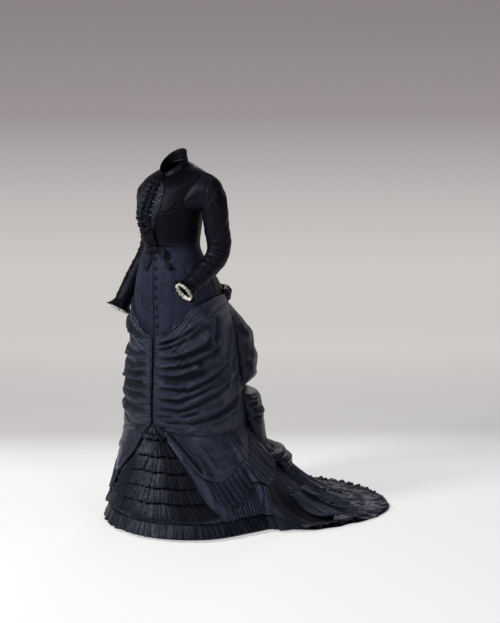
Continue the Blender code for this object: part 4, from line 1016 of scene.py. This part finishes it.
def apron_station(angle, t):
    w = smooth(angle / 100)
    centre = APRON_CENTRE[0] + (APRON_CENTRE[1] - APRON_CENTRE[0]) * t
    side = APRON_SIDE[0] + (APRON_SIDE[1] - APRON_SIDE[0]) * t ** 1.7
    top = along(BODICE_EDGE, angle) - 0.12
    bottom = centre * (1 - w) + side * w + APRON_SAG * np.sin(np.pi * np.minimum(angle / 100, 1)) * t
    return top * (1 - t) ** 3 + bottom * (1 - (1 - t) ** 3)


def build_apron():
    """Each half of the apron: fine gathers into the centre seam, and swags that sweep up to the hip."""
    for label, side in SIDES.items():
        across, down = APRON_GRID[label]
        angle, t = grid(*APRON_EDGES, across, 0, 1, down)
        if side == RIGHT:
            angle = angle[:, ::-1]
        near = np.exp(-((angle - APRON_EDGES[0]) / 2.6) ** 2)
        angle = angle + (0.45 + 0.95 * waves(t, 31, 69 + side)) * near
        base = skirt(side * angle, apron_station(angle, t))
        lift = strokes(base, APRON_FOLDS[label], skirt)
        fine = fading_folds(t + 0.004 * np.sin(angle / 4), angle, 36, 61 + side, (6, 32))
        middle = fading_folds(t + 0.02 * np.sin(np.radians(2.2 * angle) + side), np.abs(angle - 20), 11, 63 + side,
                              (8, 58))
        rising = fading_folds((t + 0.0036 * angle) / 1.42, np.abs(angle - 34), 21, 65 + side, (8, 38))
        lift = 1.40 * lift + 0.0046 * fine * smooth(angle / 2.5) + 0.0046 * middle * smooth(angle / 14)
        lift += 0.0044 * rising * smooth((angle - 6) / 12)
        lift += 0.0022 * waves(t + 0.0016 * angle, 7, 67 + side) * smooth((angle - 40) / 40)
        lift *= smooth(t / 0.03) * smooth((1.02 - t) / 0.05)
        over = APRON_TOP_OVER + (APRON_OVER + 0.001 - APRON_TOP_OVER) * smooth(t / 0.03)
        lift = over + np.maximum(lift, -0.0045) + 0.004 * smooth(t / 0.05) * smooth((1 - t) / 0.04)
        lift -= (0.0060 + 0.0022 * fine) * near
        # Painted shade in the hollows of the folds, and along the centre seam.
        cloth(f"apron_{label}", raised(base, lift),
              material=GATHERED,
              shade=1.5 * hollows(lift, 6, 0.0075) + 0.30 * near)


# Lower panels of the overskirt, their bands and flounces. Tables are by angle.
PANEL_BOTTOM = {
    "left": {
        1: 5.68, 8: 5.82, 16: 6.02, 26: 6.18, 38: 6.42, 50: 6.46, 62: 6.40, 78: 6.28, 97: 6.10, 114: 6.00},
    "right": {
        1: 5.68, 8: 5.95, 16: 6.14, 26: 6.28, 38: 6.42, 50: 6.46, 62: 6.40, 78: 6.28, 97: 6.10, 114: 6.00},
}
BAND_END = {
    "left": {38: 6.46, 44: 6.66, 50: 6.70, 56: 6.69, 68: 6.60, 80: 6.48, 97: 6.31, 114: 6.20},
    "right": {38: 6.50, 44: 6.62, 50: 6.69, 56: 6.69, 68: 6.60, 80: 6.48, 97: 6.31, 114: 6.20},
}
PANEL_TOP, PANEL_OVER = 5.60, 0.0060
UPRIGHT_END = 6.83
PANEL_FOLDS = {
    "left": (
        (0.011, 0.018, (3, 5.72), (16, 5.98), (27, 6.17), (37, 6.42)),
        (0.008, -0.010, (8, 5.76), (20, 5.95), (31, 6.12), (40, 6.36)),
        (0.007, 0.009, (12, 5.80), (24, 5.96), (36, 6.18), (44, 6.42)),
        (0.007, 0.005, (16, 5.82), (30, 5.94), (44, 6.12), (52, 6.36)),
        (0.012, 0.003, (20, 5.84), (38, 6.00), (60, 6.06), (88, 5.96)),
        (0.008, 0.003, (40, 6.14), (56, 6.19), (74, 6.14)),
        (0.006, 0.003, (50, 6.36), (60, 6.35), (72, 6.29)),
        (0.007, -0.005, (92, 5.70), (91, 5.90), (89, 6.14)),
        (0.007, 0.005, (96, 5.70), (95, 5.90), (93, 6.12)),
        (0.006, 0.004, (106, 5.74), (105, 5.88), (103, 6.04)),
    ),
    "right": (
        (0.010, 0.009, (-3, 5.74), (-14, 5.98), (-24, 6.20)),
        (0.008, 0.007, (-8, 5.80), (-18, 6.00), (-28, 6.20), (-34, 6.36)),
        (0.007, 0.006, (-14, 5.80), (-24, 5.96), (-36, 6.18), (-42, 6.36)),
        (0.009, 0.005, (-18, 5.76), (-36, 5.96), (-60, 6.04), (-88, 5.96)),
        (0.008, 0.005, (-40, 6.16), (-56, 6.22), (-76, 6.16)),
        (0.007, 0.005, (-96, 5.70), (-95, 5.90), (-93, 6.12)),
    ),
}
PANEL_SMOCK = {"left": (3, 15), "right": (8, 26)}


def build_lower_panels():
    for label, side in SIDES.items():
        angle, t = grid(1, 114, 130, 0, 1, 62)
        if side == RIGHT:
            angle = angle[:, ::-1]
        bottom = along(PANEL_BOTTOM[label], angle)
        station = PANEL_TOP + (bottom - PANEL_TOP) * t
        base = skirt(side * angle, station)
        lift = strokes(base, PANEL_FOLDS[label], skirt)
        reach = PANEL_SMOCK[label]
        gathers = fading_folds(1 - np.clip(angle / 44, 0, 1), (1 - t) * 60, 16, 71 + side, reach)
        lift += 0.0040 * gathers * smooth((46 - angle) / 8)
        lift += 0.0014 * waves(t * 0.9 + 0.001 * angle, 5, 73 + side)
        hem = 0.0016 * smooth((t - 0.95) / 0.05)
        lift = PANEL_OVER + np.maximum(lift, -0.0035) * smooth(t / 0.1) * smooth((1.03 - t) / 0.08) + hem
        lift[0] = 0.0030
        edge = bottom - station
        strip = smooth((47 - angle) / 6) * smooth((angle - 5) / 6)
        lift += 0.0100 * strip * np.sin(np.pi * np.clip(edge / 0.085, 0, 1)) ** 0.7
        # Painted shade: the crease below the panel's rolled front edge, and the hollows of its folds.
        roll_shade = strip * np.exp(-((edge - 0.112) / 0.03) ** 2)
        cloth(f"lower_panel_{label}", raised(base, lift),
              shade=hollows(lift, 5, 0.010) + 0.6 * roll_shade)
        share, down, heights, sways = pleats(15, 75 + side, 13, 0.15)
        high = 38 + 76 * share
        low = np.minimum(high + 4.0 * down + 0.4 * sways * down, 114)
        start = along(PANEL_BOTTOM[label], high) + 0.004
        station = start + (along(BAND_END[label], low) - start) * down
        lift = PANEL_OVER - 0.0035 * (1 - smooth(down / 0.1)) + 0.004 * down
        lift = lift + 0.0115 * heights * (0.55 + 0.45 * down)
        if side == RIGHT:
            low, station, lift = low[:, ::-1], station[:, ::-1], lift[:, ::-1]
        base = skirt(side * low, station)
        # Painted shade between the pleats.
        cloth(f"slant_pleats_{label}", raised(base, lift),
              material=PLEATED, shade=1.3 * hollows(lift, 4, 0.006))
        share, down, heights, sways = pleats(12, 79 + side, 19, 0.35, 0.5)
        high, low = 53 + 33 * share, 53 + 25 * share
        angle = high + (low - high) * down + 0.5 * sways * np.sin(2.4 * down + 1)
        start = along(BAND_END[label], high) + 0.006
        station = start + (UPRIGHT_END - start) * down
        hem = 0.0015 * smooth((down - 0.93) / 0.07)
        lift = 0.0035 + 0.013 * down + 0.0125 * heights * (0.45 + 0.55 * down) + hem
        if side == RIGHT:
            angle, station, lift = angle[:, ::-1], station[:, ::-1], lift[:, ::-1]
        base = skirt(side * angle, station)
        # Painted shade between the pleats.
        cloth(f"upright_pleats_{label}", raised(base, lift),
              shade=0.9 * hollows(lift, 4, 0.007))


# Tiers of ruffles in the front opening, from the top one down, and the flounce round the hem.
TIER_TOP, TIER_LAP = 5.80, 0.02
TIER_ENDS = (6.05, 6.20, 6.35, 6.50, 6.65, 6.80)
TIER_PLEATS = (9, 14, 18, 22, 25, 30)
TIER_LEFT = {5.8: 3.5, 6.05: 14, 6.2: 21, 6.35: 27, 6.5: 31, 6.65: 35, 6.8: 42}
TIER_RIGHT = {5.8: 2.0, 6.05: 9, 6.2: 16, 6.35: 26, 6.5: 34, 6.65: 41, 6.8: 50}


def build_tiers():
    start = TIER_TOP
    for k, (end, count) in enumerate(zip(TIER_ENDS, TIER_PLEATS)):
        share, down, heights, sways = pleats(count, 81 + 3 * k, 15, 0.40, 0.6)
        station = start + (end - start) * down
        station = station + (0.006 * waves(share, count // 2, 83 + k) + 0.010 * waves(share, 3, 87 + k)) * down
        right = -np.interp(station, list(TIER_RIGHT), list(TIER_RIGHT.values()))
        left = np.interp(station, list(TIER_LEFT), list(TIER_LEFT.values()))
        angle = right + (left - right) * share + 0.5 * sways * down
        crumple = 0.0016 * waves(share * 0.97 + 0.06 * down, 2 * count, 85 + k)
        lift = 0.0034 + 0.014 * down ** 0.8 + 0.0110 * heights * (0.25 + 0.75 * down) + crumple * down
        base = skirt(angle, station)
        # Painted shade: the top of each tier beneath the one above, and its right side beside the panel's rolled
        # edge; also between the pleats.
        tier_shade = 0.9 * smooth((0.16 - down) / 0.16) + 0.80 * smooth((share - 0.60) / 0.16)
        cloth(f"front_tier_{k + 1}", raised(base, lift),
              wall=FRILL_WALL, material=TIERED,
              shade=1.3 * hollows(lift, 4, 0.006) + tier_shade)
        start = end - TIER_LAP


FLOUNCE_TOP, FLOUNCE_END = 6.845, 0.985


def build_hem_flounce():
    share, down, heights, sways = pleats(76, 91, 15, 0.45, 0.7, FLOUNCE_END)
    station = FLOUNCE_TOP + (HEM - FLOUNCE_TOP) * down
    station = station - 0.016 * (0.5 + 0.5 * waves(share, 31, 95)) * down
    angle = -109 + 218 * share + 0.8 * sways * down
    lift = 0.0034 + 0.013 * down + 0.0115 * heights * (0.35 + 0.65 * down)
    lift += 0.0045 * waves(share, 23, 93) * down
    # Painted shade between the pleats and along the flounce's top, below the tiers.
    cloth("hem_flounce", raised(skirt(angle, station), lift),
          wall=FRILL_WALL, material=TIERED,
          shade=1.3 * hollows(lift, 4, 0.006) + 0.8 * smooth((0.18 - down) / 0.18))


# Poufs: first and last station, first angle, fullness, lobes, and how full each part of the height is.
POUFS = {
    "pouf_upper": (2.70, 5.14, 114.6, 0.080, 3, (0, 0.20, 0.50, 0.82, 0.80, 0.98, 0.95, 0)),
    "pouf_middle": (5.22, 6.13, 114.6, 0.078, 4, (0, 0.60, 0.80, 0.90, 1.00, 1.04, 0.96, 0)),
    "pouf_lower": (6.16, 6.29, 115.2, 0.052, 5, (0, 0.62, 0.90, 1.00, 1.00, 0.90, 0.62, 0)),
}
POUF_SWAGS = {"pouf_upper": 3, "pouf_middle": 2, "pouf_lower": 2}
POUF_GRID = {"pouf_upper": (140, 74), "pouf_middle": (140, 54), "pouf_lower": (140, 28)}


def build_poufs():
    for n, (name, (top, end, first, fullness, lobes, profile)) in enumerate(POUFS.items()):
        across, down = POUF_GRID[name]
        angle, v = grid(first, 360 - first, across, 0, 1, down)
        u = (angle - 180) / (180 - first)
        full = along(dict(zip(np.linspace(0, 1, len(profile)), profile)), v)
        swell = full * np.sqrt(np.maximum(1 - np.abs(u) ** 7, 0))
        lobe = 0.80 + 0.20 * np.sin(lobes * np.pi * (u + 1) / 2 + 2.2 * v)
        sag = v - 0.20 * (1 - u**2) + 0.05 * np.sin(4 * u + n)
        swags = waves((sag + 0.3) / 1.5, POUF_SWAGS[name], 101 + n, 0.5)
        pulled = fading_folds(v + 0.08 * np.abs(u), 1 - np.abs(u), 5, 103 + n, (0.12, 0.6))
        creases = waves((u + 1) / 2 + 0.22 * v, 11, 105 + n)
        lift = fullness * swell * lobe + swell * (0.0060 * swags + 0.0034 * creases) + 0.0060 * pulled * full
        lift = 0.0045 - 0.0022 * (1 - smooth(v / 0.04)) + np.maximum(lift, 0)
        base = skirt(angle, top + (end - top) * v)
        # Painted shade in the hollows of the poufs.
        cloth(name, raised(base, lift), material=SHADED_PUFF_SILK,
              shade=hollows(lift, 7, 0.012))


BACK_BOW_ANGLES, BACK_BOW_TOP, BACK_BOW_DEEP = (118, 242), 2.10, 0.52


def build_back_bow():
    """Soft puffed loops over the back of the bodice's edge."""
    angle, v = grid(*BACK_BOW_ANGLES, 150, 0, 1, 32)
    u = (angle - 118) / 124
    swell = np.sin(np.pi * v) ** 0.6 * np.sin(np.pi * u) ** 0.25
    loops = waves(u, 6, 111, 0.3)
    creases = waves(u * 0.96 + 0.04 * v, 19, 113)
    lift = 0.0105 + swell * (0.017 + 0.010 * loops + 0.0035 * creases)
    lift += 0.0035 * waves(v, 3, 115) * swell
    base = skirt(angle, BACK_BOW_TOP + BACK_BOW_DEEP * v)
    cloth("back_bow", raised(base, lift), slot="silk_dark")


# Ruffles across the train: first and last station, and the number of waves.
TRAIN_RUFFLES = ((6.40, 6.62, 30), (6.60, 6.82, 38), (6.80, 6.985, 46))


def build_train_trimmings():
    """A pleated piece beside the deep fold, and gathered ruffles across the train."""
    share, down, heights, sways = pleats(7, 121, 19, 0.3, 0.4)
    angle = (103.6 + 6.0 * share) * (1 - down) + (99.0 + 7.4 * share) * down + 0.2 * sways * down
    lift = 0.0030 + 0.016 * down + 0.0090 * heights * (0.4 + 0.6 * down)
    base = skirt(angle, 6.42 + 0.40 * down)
    # Painted shade between the pleats.
    cloth("train_pleats", raised(base, lift),
          material=PLEATED, shade=1.3 * hollows(lift, 4, 0.006))
    for n, (top, end, count) in enumerate(TRAIN_RUFFLES):
        angle, down = grid(113, 205, 300, 0, 1, 22)
        u = (angle - 113) / 92
        wave = waves(u, count, 123 + 3 * n, 0.55)
        fold = fading_folds(u + 0.02 * np.sin(5 * down), 1 - down, count // 2, 125 + 3 * n, (0.3, 1.0))
        station = top + (end - top) * down + 0.012 * waves(u, 9, 127 + n) * np.sin(np.pi * down)
        lift = 0.0030 + 0.008 * np.sqrt(down) + 0.0070 * wave * (0.12 + 0.88 * down) + 0.0050 * fold
        lift += 0.006 * waves(u + 0.07 * down, 8, 129 + n) * np.sin(np.pi * np.minimum(down + 0.2, 1))
        lift = np.maximum(lift, 0.0022)
        # Painted shade in the hollows of the ruffles.
        cloth(f"train_ruffle_{n + 1}", raised(skirt(angle, station), lift),
              wall=FRILL_WALL, material=CRUSHED,
              shade=1.2 * hollows(lift, 4, 0.008))


# Floor and backdrop in one sweep, light and camera.
FLOOR = -SHOULDER_HEIGHT - 0.002
VIEW = np.radians(35.0)
SWEEP_START, SWEEP_RADIUS, SWEEP_HALF = 7.0, 1.5, 16.0


def build_studio():
    """A pale floor that curves up into a backdrop, greyer towards its top. It also glows by emission along a ramp:
    painted light that brightens the floor and softens the shadows on it.
    """
    wall = SWEEP_START + SWEEP_RADIUS
    curve = [(SWEEP_START + SWEEP_RADIUS * np.sin(a), SWEEP_RADIUS * (1 - np.cos(a)))
             for a in np.linspace(0, np.pi / 2, 17)]
    profile = [(-SWEEP_HALF, 0.0), (-4.0, 0.0), (0.0, 0.0), *curve, (wall, 3.5), (wall, 8.0)]
    across = np.linspace(-SWEEP_HALF, SWEEP_HALF, 9)
    points = np.array([[(-d * np.sin(VIEW) + x * np.cos(VIEW), d * np.cos(VIEW) + x * np.sin(VIEW), FLOOR + z)
                        for x in across] for d, z in profile])
    bm = bmesh.new()
    bmesh.ops.create_grid(bm, x_segments=len(across) - 1, y_segments=len(profile) - 1, size=0.5)
    for vert in bm.verts:
        row = round((vert.co.y + 0.5) * (len(profile) - 1))
        vert.co = points[row, round((vert.co.x + 0.5) * (len(across) - 1))]
    bmesh.ops.recalc_face_normals(bm, faces=bm.faces)
    mesh = bpy.data.meshes.new("studio_sweep")
    bm.to_mesh(mesh)
    bm.free()
    mesh.shade_smooth()
    sweep = bpy.data.objects.new("studio_sweep", mesh)
    bpy.context.scene.collection.objects.link(sweep)
    glowing_sweep_paint, tree, shader = plain_material("studio_paint_glowing")
    split = added(tree, "SeparateXYZ", {0: added(tree, "TexCoord", {}).outputs["Object"]})
    away = maths(tree, "MULTIPLY_ADD", split.outputs["X"], -float(np.sin(VIEW)),
                 maths(tree, "MULTIPLY", split.outputs["Y"], float(np.cos(VIEW))))
    rise = maths(tree, "ADD", split.outputs["Z"], -FLOOR)
    place = maths(tree, "MULTIPLY_ADD", away, 0.05, maths(tree, "MULTIPLY_ADD", rise, 1 / 7, 0.2))
    # The second ramp feeds the emission: painted light that brightens the sweep and softens the shadows on the
    # floor.
    for value, socket in ((1, "Base Color"), (2, "Emission Color")):
        tone = added(tree, "ValToRGB", {0: place})
        stops = tone.color_ramp.elements
        for row in SWEEP_TONES:
            stop = stops[0] if row[0] == 0 else stops[-1] if row[0] == 1 else stops.new(row[0])
            stop.color = (*(row[value] * part for part in row[3]), 1)
        fill(tree, shader, {socket: tone.outputs[0]})
    fill(tree, shader, {"Emission Strength": 1.0, "Roughness": 0.9, "Specular IOR Level": 0.1})
    mesh.materials.append(glowing_sweep_paint)
    world = bpy.data.worlds.new("studio_world")
    world.use_nodes = True
    tree = world.node_tree
    fill(tree, tree.nodes["Background"], {"Color": (0.62, 0.62, 0.68, 1), "Strength": 0.10})
    seen = added(tree, "Background", {"Color": (0.50, 0.48, 0.48, 1)})
    either = added(tree, "MixShader", {
        0: added(tree, "LightPath", {}).outputs["Is Camera Ray"], 1: tree.nodes["Background"].outputs[0],
        2: seen.outputs[0]})
    fill(tree, tree.nodes["World Output"], {0: either.outputs[0]})
    bpy.context.scene.world = world
    for name, place, aim, width, height, power, colour in LAMPS:
        lamp = bpy.data.lights.new(name, "AREA")
        lamp.shape = "RECTANGLE"
        lamp.size, lamp.size_y = width, height
        lamp.energy = power
        lamp.color = colour
        holder = bpy.data.objects.new(name, lamp)
        holder.location = place
        holder.rotation_euler = (Vector(aim) - holder.location).to_track_quat("-Z", "Y").to_euler()
        bpy.context.scene.collection.objects.link(holder)


# The sweep from near the camera, over the floor, to the top of the backdrop: place, tone, glow (painted light, by
# emission) and tint.
SWEEP_TONES = (
    (0.0, 0.45, 0.49, (1, 1, 1)), (0.2, 0.45, 0.53, (1, 1, 1)), (0.2375, 0.45, 0.57, (1, 1, 1)),
    (0.256, 0.45, 0.50, (1, 0.99, 0.98)), (0.277, 0.40, 0.34, (1, 0.97, 0.96)),
    (0.3155, 0.30, 0.40, (1, 0.96, 0.96)), (0.40, 0.15, 0.56, (1, 0.955, 0.92)),
    (0.62, 0.15, 0.57, (1, 0.95, 0.91)), (0.735, 0.12, 0.47, (1, 0.94, 0.93)),
    (0.86, 0.10, 0.28, (1, 0.90, 0.95)), (1.0, 0.10, 0.21, (1, 0.90, 0.96)),
)
# Lamps: name, place, what each points at, width, height, power and colour.
LAMPS = (
    ("key", (-1.3, -3.3, 1.8), (0.0, 0.0, -0.5), 0.8, 1.0, 185, (1.0, 0.99, 0.98)),
    ("side", (3.3, -2.0, 1.2), (0.2, 0.2, -1.0), 0.8, 1.1, 38, (0.95, 0.97, 1.0)),
    ("top", (0.8, 0.0, 2.4), (0.3, 0.4, -1.2), 1.2, 1.2, 11, (1.0, 1.0, 1.0)),
    ("back", (-1.2, 4.2, 1.8), (0.0, 0.3, -0.7), 1.4, 1.4, 34, (0.98, 0.99, 1.0)),
)


CAMERA_AZIMUTH, CAMERA_DISTANCE, CAMERA_HEIGHT = 35.0, 5.36, 1.60
CAMERA_TURN, CAMERA_DIP, CAMERA_LENS = 3.03, 8.09, 79.0


def build_camera():
    a, turn, dip = np.radians((CAMERA_AZIMUTH, CAMERA_TURN, CAMERA_DIP))
    data = bpy.data.cameras.new("camera")
    data.sensor_fit = "VERTICAL"
    data.sensor_height = 36.0
    data.lens = CAMERA_LENS
    camera = bpy.data.objects.new("camera", data)
    camera.location = (
        CAMERA_DISTANCE * np.sin(a), -CAMERA_DISTANCE * np.cos(a), CAMERA_HEIGHT - SHOULDER_HEIGHT)
    ahead = Vector((-np.sin(a), np.cos(a), 0)) * np.cos(turn) + Vector((np.cos(a), np.sin(a), 0)) * np.sin(turn)
    ahead = ahead * np.cos(dip) - Vector((0, 0, np.sin(dip)))
    camera.rotation_euler = ahead.to_track_quat("-Z", "Y").to_euler()
    bpy.context.scene.collection.objects.link(camera)
    bpy.context.scene.camera = camera
    bpy.context.scene.view_settings.view_transform = "Standard"


build_camera()
build_studio()
build_skirt()
build_bodice()
build_collar()
build_cuffs(build_sleeves())
build_front_trimmings()
build_buttons()
build_bow()
build_apron()
build_lower_panels()
build_tiers()
build_hem_flounce()
build_poufs()
build_back_bow()
build_train_trimmings()
